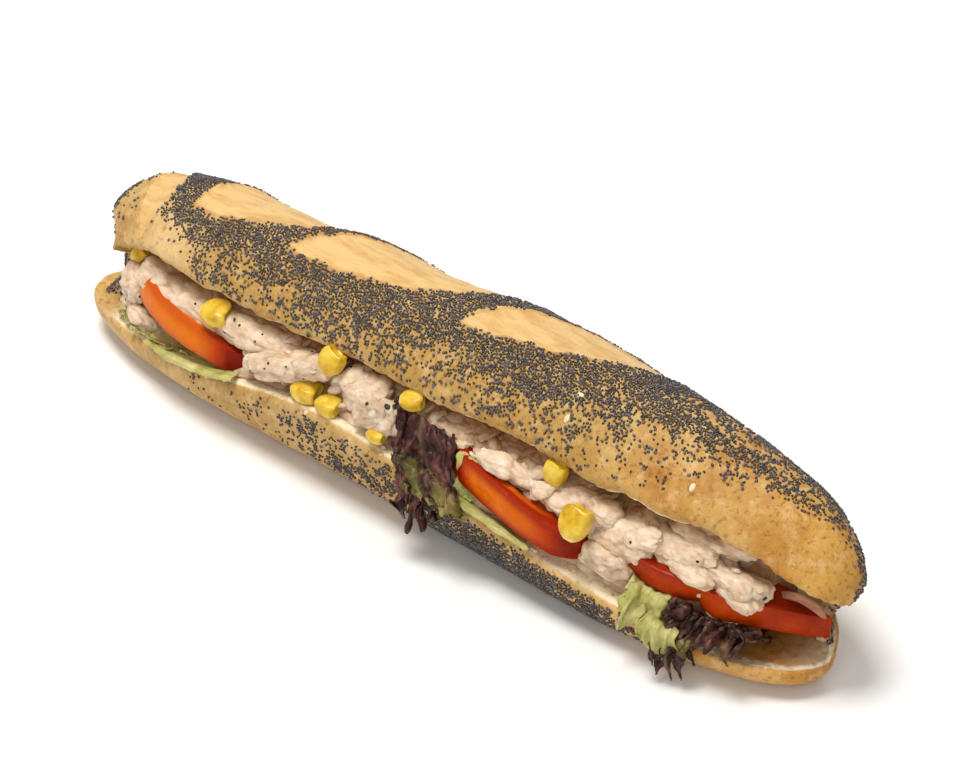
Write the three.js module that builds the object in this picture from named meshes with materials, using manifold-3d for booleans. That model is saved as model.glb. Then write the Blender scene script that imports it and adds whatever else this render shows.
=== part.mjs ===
// A tuna sandwich: a poppy-seed baguette, slit along one side and opened like a book, filled with
// flaked tuna, sweetcorn, tomato slices, mixed lettuce and a strip of onion.
//
// The loaf lies along X and opens towards -Y, with its hinge of uncut crust along +Y and Z up.
// The origin is the middle of the flat base. Lengths are in millimetres, angles in degrees.
import * as THREE from "three";
import { mergeVertices } from "three/addons/utils/BufferGeometryUtils.js";
import Module from "manifold-3d";

const wasm = await Module();
wasm.setup();

// ---------------------------------------------------------------- driving dimensions

const clearance = 0.35; // between touching pieces

const loaf = {
  halfLength: 135,
  halfWidth: 24.9,
  widthSwell: 0.051, // the loaf is a little wider right of the middle
  widthSwellAt: 60,
  widthSwellReach: 60,
};

const lid = {
  height: 30.5,
  crown: 0.111, // extra height at the crown
  crownAt: 14,
  crownReach: 45,
  // A higher number keeps the width or height longer towards the tip.
  widthTaper: { left: 4.6, right: 3.7 },
  heightTaper: { left: 8, right: 4.14 },
  roundness: 0.85, // of the cross-section: 1 is an ellipse, less is squarer
  opening: 37, // how far the lid is swung up
  slip: 4.2, // how far it has slid to the right
};

const hinge = { y: 18.66, z: 17.4 };

// The uncut wall round each tip: its reach in degrees round the tip, and how far its middle is
// drawn in between the halves.
const tipWall = { thickness: 4.5, back: 62, front: -12, tuckLeft: 5, tuckRight: 2.5 };

const heel = {
  widthShare: 0.98,
  widthTaper: { left: 2.65, right: 5.2 },
  // Height of the cut along the front, at even steps from the left tip to the right one.
  rimHeights: [11, 16.5, 27.5, 21.6, 14.3, 8],
  belly: 3, // how far the round underside would reach below the flat base
  sideRoundness: 0.9,
  bellyRoundness: 0.8,
  scoop: 1.6, // hollow pressed into the cut face
};

// Scores across the crust: middle (x and distance past the crest), half length, half width, slant.
const scores = [
  { x: -115, past: -19, halfLength: 26, halfWidth: 5, slant: 97 },
  { x: -78, past: -5, halfLength: 42, halfWidth: 17, slant: 30 },
  { x: -20, past: -4, halfLength: 46, halfWidth: 16, slant: 28 },
  { x: 34, past: -8, halfLength: 36, halfWidth: 10.5, slant: 29.5 },
];
const scoreDip = 1.3;
const scoreLip = 0.3;
const crestArcPerDegree = 0.51; // length along the lid's cross-section for one degree

const seed = { radius: 0.68, sunk: 0.2, spacing: 10.2, lidRows: 9, heelRows: 15 };

// Tomato slices: how far along (x), share of the mouth's height, radius and thickness, how far the
// skin stands out of the mouth, its turn that brings the left end forward, its droop to the right
// and its tip down at the front.
const tomatoes = [
  { x: -84, share: 0.19, radius: 34, thickness: 7.2, out: 1.2, turn: 12, droop: 7, tip: -3 },
  { x: 42, share: 0.29, radius: 34, thickness: 7.4, out: 1.5, turn: 5, droop: 7, tip: 3 },
  { x: 90, share: 0.46, radius: 21, thickness: 7, out: -1, turn: 0, droop: 4, tip: 8 },
  { x: 111, share: 0.42, radius: 22, thickness: 7.4, out: 0, turn: 0, droop: 8, tip: 9 },
];

const tomatoChord = 12; // degrees that a slice reaches past half of its round

// Sweetcorn kernels: place in the mouth, size, and the turns of the crown's direction.
const kernels = [
  { x: -70, share: 0.7, out: -1.5, length: 10.5, turn: 70, tilt: 15 },
  { x: -25, share: 0.84, out: -0.5, length: 9.5, turn: 20, tilt: 70 },
  { x: -33, share: 0.22, out: -1, length: 10, turn: 80, tilt: 0 },
  { x: -23, share: 0.22, out: 0, length: 8.5, turn: 85, tilt: 5 },
  { x: 3, share: 0.93, out: -1.5, length: 8, turn: 60, tilt: 20 },
  { x: 52, share: 0.93, out: -2.5, length: 8.5, turn: 10, tilt: 80 },
  { x: 66, share: 0.58, out: 1.5, length: 11, turn: 0, tilt: 60 },
  { x: -112, share: 0.84, out: -1, length: 6.5, turn: 30, tilt: 60 },
  { x: -4, share: 0.16, out: -1.5, length: 6.5, turn: 80, tilt: 0 },
];

// Lettuce leaves: middle and width along the loaf, way inside and outside the rim, and their waves.
const leaves = [
  {
    name: "lettuce_leaf_left",
    x: -80, width: 44, inside: 14, outside: 2.6, slant: 0, flare: 0.05, lobes: 0.4,
    lift: 0.9, rise: 0, riseAt: 0, frills: 2.5, frillDepth: 0.7, phase: 1, columns: 11, rows: 3,
  },
  {
    name: "lettuce_leaf_middle",
    x: 17, width: 20, inside: 9, outside: 12, slant: 13, flare: -0.2, lobes: 0.15,
    lift: 0.9, rise: 14, riseAt: 0, frills: 2.2, frillDepth: 1.4, phase: 0.6, columns: 8, rows: 7,
  },
  {
    name: "lettuce_rib",
    x: 40, width: 30, inside: 10, outside: 3.5, slant: 3, flare: 0.05, lobes: 0.3,
    lift: 0.9, rise: 0, riseAt: 0, frills: 1.6, frillDepth: 0.6, phase: 2.5, columns: 8, rows: 3,
  },
  {
    name: "lettuce_leaf_right",
    x: 99, width: 42, inside: 11, outside: 11, slant: 1, flare: -0.6, lobes: 0.25,
    lift: 0.9, rise: 6.5, riseAt: 0.35, frills: 2.6, frillDepth: 1.6, phase: 0.4, columns: 11, rows: 7,
  },
];

// Tuna: its front stands back from the line between rim and lid, and flakes build it up.
// Each flake: place in the mouth, length, height, depth, and its rise to the right in degrees.
const tuna = { left: -119, right: 128, setBack: 5.5, smallFlakes: 4 };
const flakes = [
  { x: -106, share: 0.5, out: -1.5, length: 20, height: 12, depth: 12, rise: 20 },
  { x: -84, share: 0.58, out: -0.5, length: 32, height: 13.5, depth: 12, rise: -7 },
  { x: -56, share: 0.66, out: -2.5, length: 38, height: 12, depth: 12, rise: 4 },
  { x: -38, share: 0.47, out: -0.5, length: 33, height: 8.5, depth: 10, rise: 24 },
  { x: -13, share: 0.62, out: -1.5, length: 22, height: 15, depth: 12, rise: 30 },
  { x: -4, share: 0.45, out: 0, length: 14, height: 11, depth: 8, rise: 10 },
  { x: 14, share: 0.72, out: -4, length: 22, height: 11, depth: 10, rise: 0 },
  { x: 38, share: 0.86, out: -4, length: 30, height: 11, depth: 12, rise: -4 },
  { x: 43, share: 0.66, out: -1, length: 15, height: 5, depth: 9, rise: -12 },
  { x: 59, share: 0.66, out: -2, length: 26, height: 13, depth: 12, rise: -3 },
  { x: 77, share: 0.66, out: -0.5, length: 23, height: 17, depth: 13, rise: 10 },
  { x: 75, share: 0.34, out: -0.5, length: 17, height: 12, depth: 12, rise: 0 },
  { x: 92, share: 0.8, out: -1.5, length: 30, height: 13, depth: 12, rise: 4 },
  { x: 115, share: 0.74, out: -1.5, length: 30, height: 11, depth: 13, rise: -3 },
];

const onion = { x: 122, y: -8, z: 31.5, radius: 19, width: 5, thickness: 1.3, from: -42, to: 22 };

// ---------------------------------------------------------------- solids and meshes

const radians = THREE.MathUtils.degToRad;
const lerp = THREE.MathUtils.lerp;
const clamp = THREE.MathUtils.clamp;

// A closed geometry as a solid, turned right side out.
function toSolid(geometry) {
  const bare = geometry.clone();
  bare.deleteAttribute("normal");
  bare.deleteAttribute("uv");
  const merged = mergeVertices(bare, 1e-4);
  const build = (triVerts) =>
    new wasm.Manifold(
      new wasm.Mesh({
        numProp: 3,
        vertProperties: new Float32Array(merged.attributes.position.array),
        triVerts,
      }),
    );
  const triVerts = new Uint32Array(merged.index.array);
  const solid = build(triVerts);
  return solid.volume() > 0 ? solid : build(triVerts.reverse());
}

function toGeometry(solid) {
  const mesh = solid.getMesh();
  const geometry = new THREE.BufferGeometry();
  geometry.setAttribute("position", new THREE.BufferAttribute(mesh.vertProperties, 3));
  geometry.setIndex(new THREE.BufferAttribute(mesh.triVerts, 1));
  geometry.computeVertexNormals();
  return geometry;
}

// The biggest connected piece, so that no loose crumb of a cut stays behind.
function biggest(solid) {
  return solid.decompose().reduce((a, b) => (a.volume() > b.volume() ? a : b));
}

function joined(solids) {
  return solids.reduce((whole, piece) => whole.add(piece));
}

// A solid through closed rings of points, drawn together to a point at either end.
function loft(rings, startPole, endPole) {
  const around = rings[0].length;
  const points = [...rings.flat(), startPole, endPole];
  const start = points.length - 2;
  const end = points.length - 1;
  const index = [];
  const at = (ring, k) => ring * around + (k % around);
  for (let k = 0; k < around; k++) {
    index.push(start, at(0, k + 1), at(0, k));
    index.push(end, at(rings.length - 1, k), at(rings.length - 1, k + 1));
    for (let ring = 0; ring + 1 < rings.length; ring++) {
      index.push(at(ring, k), at(ring, k + 1), at(ring + 1, k + 1));
      index.push(at(ring, k), at(ring + 1, k + 1), at(ring + 1, k));
    }
  }
  return toSolid(pointsGeometry(points, index));
}

function pointsGeometry(points, index) {
  const geometry = new THREE.BufferGeometry().setFromPoints(points);
  geometry.setIndex(index);
  return geometry;
}

// A solid between two like grids of points, closed along its edges.
function slab(front, back) {
  const rows = front.length;
  const columns = front[0].length;
  const points = [...front.flat(), ...back.flat()];
  const index = [];
  const f = (i, j) => i * columns + j;
  const b = (i, j) => rows * columns + i * columns + j;
  for (let i = 0; i + 1 < rows; i++)
    for (let j = 0; j + 1 < columns; j++) {
      index.push(f(i, j), f(i + 1, j), f(i + 1, j + 1));
      index.push(f(i, j), f(i + 1, j + 1), f(i, j + 1));
      index.push(b(i, j), b(i + 1, j + 1), b(i + 1, j));
      index.push(b(i, j), b(i, j + 1), b(i + 1, j + 1));
    }
  const edge = (p, q) => {
    const [fp, fq, bp, bq] = [f(...p), f(...q), b(...p), b(...q)];
    index.push(fp, fq, bq);
    index.push(fp, bq, bp);
  };
  for (let j = 0; j + 1 < columns; j++) {
    edge([0, j], [0, j + 1]);
    edge([rows - 1, j + 1], [rows - 1, j]);
  }
  for (let i = 0; i + 1 < rows; i++) {
    edge([i + 1, 0], [i, 0]);
    edge([i, columns - 1], [i + 1, columns - 1]);
  }
  return toSolid(pointsGeometry(points, index));
}

// The same row of random numbers on every run.
function randomFrom(start) {
  let state = start;
  return () => {
    state = (state * 1664525 + 1013904223) % 4294967296;
    return state / 4294967296;
  };
}

const bell = (distance, reach) => Math.exp(-((distance / reach) ** 2));

// ---------------------------------------------------------------- the loaf's form

// 1 in the middle of the loaf and 0 at its tips.
function taper(x, power) {
  const sharpness = x < 0 ? power.left : power.right;
  return Math.sqrt(Math.max(0, 1 - Math.abs(x / loaf.halfLength) ** sharpness));
}

function swell(x) {
  return 1 + loaf.widthSwell * bell(x - loaf.widthSwellAt, loaf.widthSwellReach);
}

const lidHalfWidth = (x) => loaf.halfWidth * swell(x) * taper(x, lid.widthTaper);

const heelHalfWidth = (x) =>
  heel.widthShare * loaf.halfWidth * swell(x) * taper(x, heel.widthTaper);

function lidHeight(x) {
  const crown = 1 + lid.crown * bell(x - lid.crownAt, lid.crownReach);
  return lid.height * crown * taper(x, lid.heightTaper);
}

// Height of the heel's front rim: a smooth curve through the heights at even steps.
function rimHeight(x) {
  const heights = heel.rimHeights;
  const last = heights.length - 1;
  const place = clamp(((x / loaf.halfLength + 1) / 2) * last, 0, last);
  const i = Math.min(Math.floor(place), last - 1);
  const before = heights[i - 1] ?? 2 * heights[0] - heights[1];
  const after = heights[i + 2] ?? 2 * heights[last] - heights[last - 1];
  const t = place - i;
  const slopeIn = (heights[i + 1] - before) / 2;
  const slopeOut = (after - heights[i]) / 2;
  return (
    (2 * t ** 3 - 3 * t ** 2 + 1) * heights[i] +
    (t ** 3 - 2 * t ** 2 + t) * slopeIn +
    (3 * t ** 2 - 2 * t ** 3) * heights[i + 1] +
    (t ** 3 - t ** 2) * slopeOut
  );
}

// How far a place on the lid lies inside a score: 0 at its middle, 1 on its outline.
function scoreReach(score, x, angle) {
  const dx = x - score.x;
  const across = (angle - 90) * crestArcPerDegree - score.past;
  const c = Math.cos(radians(score.slant));
  const s = Math.sin(radians(score.slant));
  const along = Math.abs(dx * c + across * s) / score.halfLength;
  const off = Math.abs(across * c - dx * s) / score.halfWidth;
  return off + along ** 2;
}

// Dips of the opened scores, the lips round them and the crust's own unevenness.
function crustRelief(x, angle) {
  let relief = 0.35 * Math.sin(x / 9) * Math.sin(radians(angle * 2) + x / 23);
  for (const score of scores) {
    const reach = scoreReach(score, x, angle);
    relief += scoreLip * bell(reach - 1.15, 0.25) - scoreDip * Math.sqrt(Math.max(0, 1 - reach));
  }
  const atEdge = Math.min(1, Math.min(angle, 180 - angle) / 12);
  return relief * atEdge;
}

// A signed power, which squares off a circle's sine or cosine.
function signedPower(value, power) {
  return Math.sign(value) * Math.abs(value) ** power;
}

// A point of the lid's crust before it is swung up; angle 0 is the front edge, 180 the back.
function lidCrust(x, angle) {
  const a = radians(angle);
  const y = -lidHalfWidth(x) * signedPower(Math.cos(a), lid.roundness);
  const z = lidHeight(x) * Math.sin(a) ** lid.roundness;
  const size = Math.hypot(y, z);
  const grown = size > 0 ? 1 + (crustRelief(x, angle) * Math.min(1, size / 15)) / size : 1;
  return new THREE.Vector3(x, y * grown, hinge.z + z * grown);
}

// Swings a point of the shut lid up round the hinge.
function swingUp(point) {
  const c = Math.cos(radians(lid.opening));
  const s = Math.sin(radians(lid.opening));
  const dy = point.y - hinge.y;
  const dz = point.z - hinge.z;
  return new THREE.Vector3(point.x + lid.slip, hinge.y + dy * c + dz * s, hinge.z - dy * s + dz * c);
}

// Height of the heel's cut face, from the front rim across to the hinge.
function cutHeight(x, y) {
  const front = heelHalfWidth(x);
  const share = clamp((y + front) / (hinge.y + front), 0, 1);
  const pressed = heel.scoop * Math.sin(Math.PI * share) * taper(x, { left: 8, right: 8 });
  return lerp(rimHeight(x), hinge.z, share) - pressed;
}

// A point of the heel's crust; angle 0 is the front rim, 90 the base and 180 the back rim.
function heelCrust(x, angle) {
  const a = radians(angle);
  const width = heelHalfWidth(x);
  const y = -width * signedPower(Math.cos(a), heel.sideRoundness);
  const rim = lerp(rimHeight(x), cutHeight(x, width), (1 - Math.cos(a)) / 2);
  const depth = (rim + heel.belly) * Math.sqrt(taper(x, heel.widthTaper));
  const drop = Math.min(rim, depth * Math.max(0, Math.sin(a)) ** heel.bellyRoundness);
  return new THREE.Vector3(x, y, rim - drop);
}

// Places along the loaf for its cross-sections: even, then closer where the tips round off.
function stations(step, reach, power) {
  const places = [];
  const count = Math.round((2 * reach) / step);
  for (let i = 0; i <= count; i++) places.push(-reach + (2 * reach * i) / count);
  for (const width of [0.42, 0.26, 0.12]) {
    places.push(loaf.halfLength * (1 - width ** 2) ** (1 / power.right));
    places.unshift(-loaf.halfLength * (1 - width ** 2) ** (1 / power.left));
  }
  return places;
}

// ---------------------------------------------------------------- bread

const lidSteps = 12;
const heelSteps = 8;
const cutRows = [1, 0.8, 0.45, 0.12]; // from the hinge forward; the rim is the last one
const lidStations = stations(6.7, 117, lid.widthTaper);
const heelStations = stations(8.6, 117, heel.widthTaper);

function makeLid() {
  const rings = lidStations.map((x) => {
    const ring = [];
    for (let k = 0; k <= lidSteps; k++) ring.push(swingUp(lidCrust(x, (180 * k) / lidSteps)));
    return ring;
  });
  const tip = (side) => swingUp(new THREE.Vector3(side * loaf.halfLength, 0, hinge.z));
  return loft(rings, tip(-1), tip(1));
}

// How far across the heel's cut face a row of points lies: share 0 is the rim, 1 near the hinge.
function cutRowPlace(x, share) {
  const width = heelHalfWidth(x);
  return lerp(-width, Math.min(hinge.y, width * 0.9), share);
}

function makeHeel() {
  const rings = heelStations.map((x) => {
    const ring = [];
    for (let k = 0; k <= heelSteps; k++) ring.push(heelCrust(x, (180 * k) / heelSteps));
    for (const share of cutRows) {
      const y = cutRowPlace(x, share);
      ring.push(new THREE.Vector3(x, y, cutHeight(x, y)));
    }
    return ring;
  });
  const tip = (side) => {
    const x = side * loaf.halfLength;
    return new THREE.Vector3(x, 0, rimHeight(x) * 0.8);
  };
  return loft(rings, tip(-1), tip(1));
}

// The wall of uncut bread that still joins the halves round one tip, behind the mouth.
// grow makes it thicker all round.
function makeTipWall(side, grow) {
  const steps = 7;
  const rows = 4;
  const tuck = side < 0 ? tipWall.tuckLeft : tipWall.tuckRight;
  const outline = (turn, power) =>
    side * loaf.halfLength * Math.cos(turn) ** (2 / (side < 0 ? power.left : power.right));
  const outside = [];
  const inside = [];
  for (let i = 0; i <= steps; i++) {
    const turn = radians(lerp(tipWall.back, tipWall.front - (grow > 0 ? 3 : 0), i / steps));
    const lowX = outline(turn, heel.widthTaper);
    const lowY = heelHalfWidth(lowX) * Math.sign(turn) * 0.97;
    const highX = outline(turn, lid.widthTaper);
    const highY = lidHalfWidth(highX) * Math.sign(turn) * 0.97;
    const low = new THREE.Vector3(lowX, lowY, cutHeight(lowX, lowY) - 2.5);
    const high = swingUp(new THREE.Vector3(highX, highY, hinge.z + 2.5));
    const inward = new THREE.Vector3(-side * Math.cos(turn), -Math.sin(turn), 0);
    const outer = [];
    const inner = [];
    for (let j = 0; j <= rows; j++) {
      const point = low.clone().lerp(high, j / rows);
      const fold = 0.7 + tuck * Math.sin((Math.PI * j) / rows);
      outer.push(point.clone().addScaledVector(inward, fold - grow));
      inner.push(point.clone().addScaledVector(inward, fold + tipWall.thickness + grow));
    }
    outside.push(outer);
    inside.push(inner);
  }
  return slab(outside, inside);
}

// ---------------------------------------------------------------- poppy seeds

// How thickly the lid is seeded, from 0 to 1: none in the scores, few near the front edge.
function lidSeeding(x, angle) {
  if (scores.some((score) => scoreReach(score, x, angle) < 1.12)) return 0;
  const bareRight = 8 + 55 * clamp((x - 40) / 75, 0, 1);
  const thick = clamp((angle - bareRight) / 16, 0, 1);
  const behind = clamp((172 - angle) / 30, 0, 1);
  const leftEnd = clamp((x + 124) / 16, 0.25, 1);
  return thick * behind * leftEnd;
}

// How thickly the heel is seeded: most right of the middle, none at its ends.
function heelSeeding(x, angle) {
  const ends = clamp((92 - x) / 14, 0, 1) * clamp((x + 96) / 50, 0, 1);
  const side = Math.min(angle, 180 - angle);
  return ends * clamp((side - 2) / 5, 0, 1) * clamp((62 - side) / 20, 0, 1);
}

// Seeds on an even, jittered grid over one half's crust, thinned where the seeding is thin.
function scatterSeeds(crust, seeding, rows, random) {
  const seeds = [];
  const columns = Math.floor((2 * loaf.halfLength) / seed.spacing);
  for (let i = 0; i < columns; i++)
    for (let j = 0; j < rows; j++) {
      const x = -loaf.halfLength + (i + 0.2 + 0.6 * random()) * seed.spacing;
      const angle = ((j + 0.2 + 0.6 * random()) * 180) / rows;
      const chance = random();
      const turn = Math.PI * random();
      const point = crust(x, angle);
      if (chance < seeding(x, angle) && isClearOfFilling(point))
        seeds.push(makeSeed(crust, x, angle, turn));
    }
  return seeds;
}

// Behind the hinge line the halves press together, and leaves hang over the rim in front.
function isClearOfFilling(point) {
  const behindHinge = point.y > hinge.y && point.z < hinge.z + 6;
  const underLeaf = leaves.some(
    (leaf) => point.y < 0 && point.z < 30 && Math.abs(point.x - leaf.x) < leaf.width * 0.7 + 4,
  );
  return !behindHinge && !underLeaf && point.z > 2;
}

function makeSeed(crust, x, angle, turn) {
  const point = crust(x, angle);
  const ahead = crust(x + 0.5, angle).sub(point);
  const round = crust(x, angle + 0.5).sub(point);
  const outward = round.cross(ahead).normalize();
  const shape = new THREE.SphereGeometry(seed.radius, 5, 3);
  shape.rotateX(Math.PI / 2);
  shape.scale(1.25, 1, 0.95);
  shape.rotateZ(turn);
  shape.lookAt(outward);
  const middle = point.addScaledVector(outward, -seed.sunk);
  shape.translate(middle.x, middle.y, middle.z);
  return toSolid(shape);
}

// ---------------------------------------------------------------- the mouth

const rimPoint = (x) => new THREE.Vector3(x, -heelHalfWidth(x), rimHeight(x));

// Height of the lid's cut face above the open mouth.
function lidUnderside(y) {
  return hinge.z + (hinge.y - y) * Math.tan(radians(lid.opening));
}

function lidEdge(x) {
  const shutX = x - lid.slip;
  return swingUp(new THREE.Vector3(shutX, -lidHalfWidth(shutX), hinge.z));
}

// A place in the mouth: share 0 lies on the heel's rim and 1 on the lid's edge, and out is how far
// it stands in front of the line between the two.
function mouthPoint(x, share, out) {
  const rim = rimPoint(x);
  const across = lidEdge(x).sub(rim);
  const outward = new THREE.Vector3(0, -across.z, across.y).normalize();
  return rim.addScaledVector(across, share).addScaledVector(outward, out);
}

// The open wedge between the halves, kept clear of both and carried on a little in front.
function makeMouthSpace(gap) {
  const overhang = 9;
  const lift = gap / Math.cos(radians(lid.opening));
  const rings = heelStations.map((x) => {
    const width = heelHalfWidth(x);
    const ring = [];
    for (const share of [...cutRows.slice(1), 0]) {
      const y = cutRowPlace(x, share);
      ring.push(new THREE.Vector3(x, y, cutHeight(x, y) + gap));
    }
    const deepest = ring[0].y;
    ring.push(new THREE.Vector3(x, -width - overhang, rimHeight(x) + gap));
    for (const y of [-width - overhang, deepest])
      ring.push(new THREE.Vector3(x, y, lidUnderside(y) - lift));
    return ring;
  });
  const middle = (ring) =>
    ring.reduce((sum, point) => sum.add(point), new THREE.Vector3()).divideScalar(ring.length);
  return loft(rings, middle(rings[0]), middle(rings[rings.length - 1]));
}

// ---------------------------------------------------------------- tomato

// A round slice cut straight across its back, lying on the heel with its skin in the mouth.
// grow makes it bigger all round.
function makeTomato(slice, grow) {
  const steps = 16;
  const radius = (turn) =>
    slice.radius * (1 + 0.02 * Math.sin(3 * turn + slice.x)) + grow;
  const chordTurn = radians(tomatoChord);
  const outline = new THREE.Shape();
  for (let i = 0; i <= steps; i++) {
    const turn = lerp(-Math.PI - chordTurn, chordTurn, i / steps);
    const point = new THREE.Vector2(Math.cos(turn), Math.sin(turn)).multiplyScalar(radius(turn));
    if (i === 0) outline.moveTo(point.x, point.y);
    else outline.lineTo(point.x, point.y);
  }
  outline.closePath();
  const bevel = 0.8;
  const shape = new THREE.ExtrudeGeometry(outline, {
    depth: slice.thickness + 2 * grow - 2 * bevel,
    bevelThickness: bevel,
    bevelSize: bevel,
    bevelOffset: -bevel,
    bevelSegments: 1,
  });
  shape.translate(0, 0, -slice.thickness / 2 - grow + bevel);
  shape.rotateZ(radians(slice.turn));
  shape.rotateX(radians(slice.tip));
  shape.rotateY(radians(slice.droop));
  const front = mouthPoint(slice.x, slice.share, slice.out);
  shape.translate(front.x, front.y + slice.radius * Math.cos(radians(slice.tip)), front.z);
  return toSolid(shape);
}

// ---------------------------------------------------------------- sweetcorn

// A kernel: a blunt wedge with a domed, slightly dented crown, narrowing to its root.
function makeKernel(kernel, grow) {
  const size = kernel.length / 2 + grow;
  const shape = new THREE.SphereGeometry(1, 8, 6);
  const position = shape.attributes.position;
  const point = new THREE.Vector3();
  for (let i = 0; i < position.count; i++) {
    point.fromBufferAttribute(position, i);
    const crown = clamp(point.y, 0, 1);
    const narrow = 1 - 0.42 * clamp(-point.y, 0, 1);
    const dent = 0.22 * crown * bell(Math.hypot(point.x, point.z), 0.45);
    position.setXYZ(
      i,
      signedPower(point.x, 0.8) * narrow * size * 0.86,
      (point.y - dent) * size,
      signedPower(point.z, 0.85) * narrow * size * 0.6,
    );
  }
  shape.rotateZ(radians(-kernel.turn));
  shape.rotateX(radians(kernel.tilt));
  const place = mouthPoint(kernel.x, kernel.share, kernel.out);
  shape.translate(place.x, place.y, place.z);
  return toSolid(shape);
}

// ---------------------------------------------------------------- lettuce

const leafThickness = 0.7;

// Along the way out of the mouth: over the cut face, round the rim and down outside the crust.
// travel 0 is at the rim, less is inside and more hangs outside; lift is the distance off the bread.
function overRim(x, travel, lift) {
  const rim = rimPoint(x);
  if (travel < 0) {
    const y = rim.y - travel;
    return new THREE.Vector3(x, y, cutHeight(x, y) + lift);
  }
  const cornerRadius = 2.5;
  const turn = Math.min(travel / cornerRadius, Math.PI / 2);
  const hang = Math.max(0, travel - cornerRadius * (Math.PI / 2));
  const reach = lift + 0.3 * hang;
  const lowest = 1.4;
  const z = Math.max(lowest, rim.z + lift * Math.cos(turn) - hang);
  return new THREE.Vector3(x, rim.y - reach * Math.sin(turn), z);
}

// A leaf: a wavy sheet that runs out of the mouth, frilled more the further it comes out.
function makeLeaf(leaf, grow) {
  const front = [];
  const back = [];
  const centre = (u, v) => {
    const lobes = 1 + leaf.lobes * Math.sin(leaf.frills * Math.PI * u + leaf.phase);
    const travel = lerp(-leaf.inside, leaf.outside * lobes, v);
    const fan = 1 + leaf.flare * v;
    const x = leaf.x + leaf.slant * (v - 0.5) + (u - 0.5) * leaf.width * fan;
    const wave = Math.sin(2 * leaf.frills * Math.PI * u + 3 * v + leaf.phase);
    const lift = leaf.lift + leaf.rise * bell(v - leaf.riseAt, 0.3);
    return overRim(x, travel, lift + leaf.frillDepth * (0.25 + 0.75 * v) * (1 + wave));
  };
  const spread = grow > 0 ? 0.04 : 0;
  for (let i = 0; i <= leaf.columns; i++) {
    const frontRow = [];
    const backRow = [];
    for (let j = 0; j <= leaf.rows; j++) {
      const u = lerp(-spread, 1 + spread, i / leaf.columns);
      const v = lerp(-spread, 1 + spread, j / leaf.rows);
      const point = centre(u, v);
      const across = centre(u + 0.01, v).sub(point);
      const along = centre(u, v + 0.01).sub(point);
      const normal = across.cross(along).normalize();
      const half = leafThickness / 2 + grow;
      frontRow.push(point.clone().addScaledVector(normal, half));
      backRow.push(point.clone().addScaledVector(normal, -half));
    }
    front.push(frontRow);
    back.push(backRow);
  }
  return slab(front, back);
}

// ---------------------------------------------------------------- onion

// Part of a ring of onion, seen on edge at the right end of the mouth.
function makeOnion(grow) {
  const steps = 9;
  const outer = [];
  const inner = [];
  for (let i = 0; i <= steps; i++) {
    const spread = grow > 0 ? 2 : 0;
    const turn = radians(lerp(onion.from - spread, onion.to + spread, i / steps));
    const outerRow = [];
    const innerRow = [];
    for (const side of [-1, 1]) {
      const across = side * (onion.width / 2 + grow);
      const place = (radius) =>
        new THREE.Vector3(
          onion.x + radius * Math.sin(turn),
          onion.y + across * 0.8,
          onion.z - onion.radius + radius * Math.cos(turn) + across * 0.6,
        );
      outerRow.push(place(onion.radius + onion.thickness / 2 + grow));
      innerRow.push(place(onion.radius - onion.thickness / 2 - grow));
    }
    outer.push(outerRow);
    inner.push(innerRow);
  }
  return slab(outer, inner);
}

// ---------------------------------------------------------------- tuna

function makeFlake(flake, detail) {
  const shape = new THREE.IcosahedronGeometry(1, detail);
  const position = shape.attributes.position;
  const point = new THREE.Vector3();
  for (let i = 0; i < position.count; i++) {
    point.fromBufferAttribute(position, i);
    const ripple =
      0.1 * Math.sin(7 * point.x + flake.x) * Math.cos(5 * point.z + flake.x) +
      0.07 * Math.sin(11 * point.z + 4 * point.x);
    const grown = 1 + ripple;
    position.setXYZ(
      i,
      (signedPower(point.x, 0.85) * grown * flake.length) / 2,
      (point.y * grown * flake.depth) / 2,
      (signedPower(point.z, 0.85) * grown * flake.height) / 2,
    );
  }
  shape.rotateX(radians(-lid.opening / 2));
  shape.rotateY(radians(-flake.rise));
  const place = mouthPoint(flake.x, flake.share, flake.out - flake.depth / 2);
  shape.translate(place.x, place.y, place.z);
  return toSolid(shape);
}

// The packed body of the tuna, which fills the wedge back to the hinge.
function makeTunaCore() {
  const rings = [];
  const steps = 12;
  for (let i = 1; i < steps; i++) {
    const x = lerp(tuna.left, tuna.right, i / steps);
    const back = Math.min(hinge.y - 6, 0.85 * heelHalfWidth(x));
    const bottom = cutHeight(x, back);
    const ring = [new THREE.Vector3(x, back, bottom - 2)];
    for (const share of [-0.1, 0.3, 0.7, 1.1]) {
      const dent = 1.2 * Math.sin(x / 5 + 7 * share);
      ring.push(mouthPoint(x, share, -tuna.setBack + dent));
    }
    ring.push(new THREE.Vector3(x, back, lidUnderside(back) + 2));
    rings.push(ring);
  }
  const end = (x) => mouthPoint(x, 0.4, -16);
  return loft(rings, end(tuna.left), end(tuna.right));
}

function makeTuna(space, others) {
  const random = randomFrom(11);
  const pieces = flakes.map((flake) => makeFlake(flake, flake.length > 32 ? 2 : 1));
  for (let i = 0; i < tuna.smallFlakes; i++) {
    const x = lerp(tuna.left + 8, tuna.right - 8, (i + random()) / tuna.smallFlakes);
    pieces.push(
      makeFlake(
        {
          x,
          share: 0.15 + 0.75 * random(),
          out: -1.5 - 2 * random(),
          length: 9 + 6 * random(),
          height: 5 + 3 * random(),
          depth: 8,
          rise: 60 * (random() - 0.5),
        },
        1,
      ),
    );
  }
  const whole = joined([makeTunaCore(), ...pieces]).intersect(space);
  return biggest(others.reduce((rest, other) => rest.subtract(other), whole));
}

// ---------------------------------------------------------------- the sandwich

function finish(color, roughness) {
  return new THREE.MeshStandardMaterial({ color, roughness, metalness: 0 });
}

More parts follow.
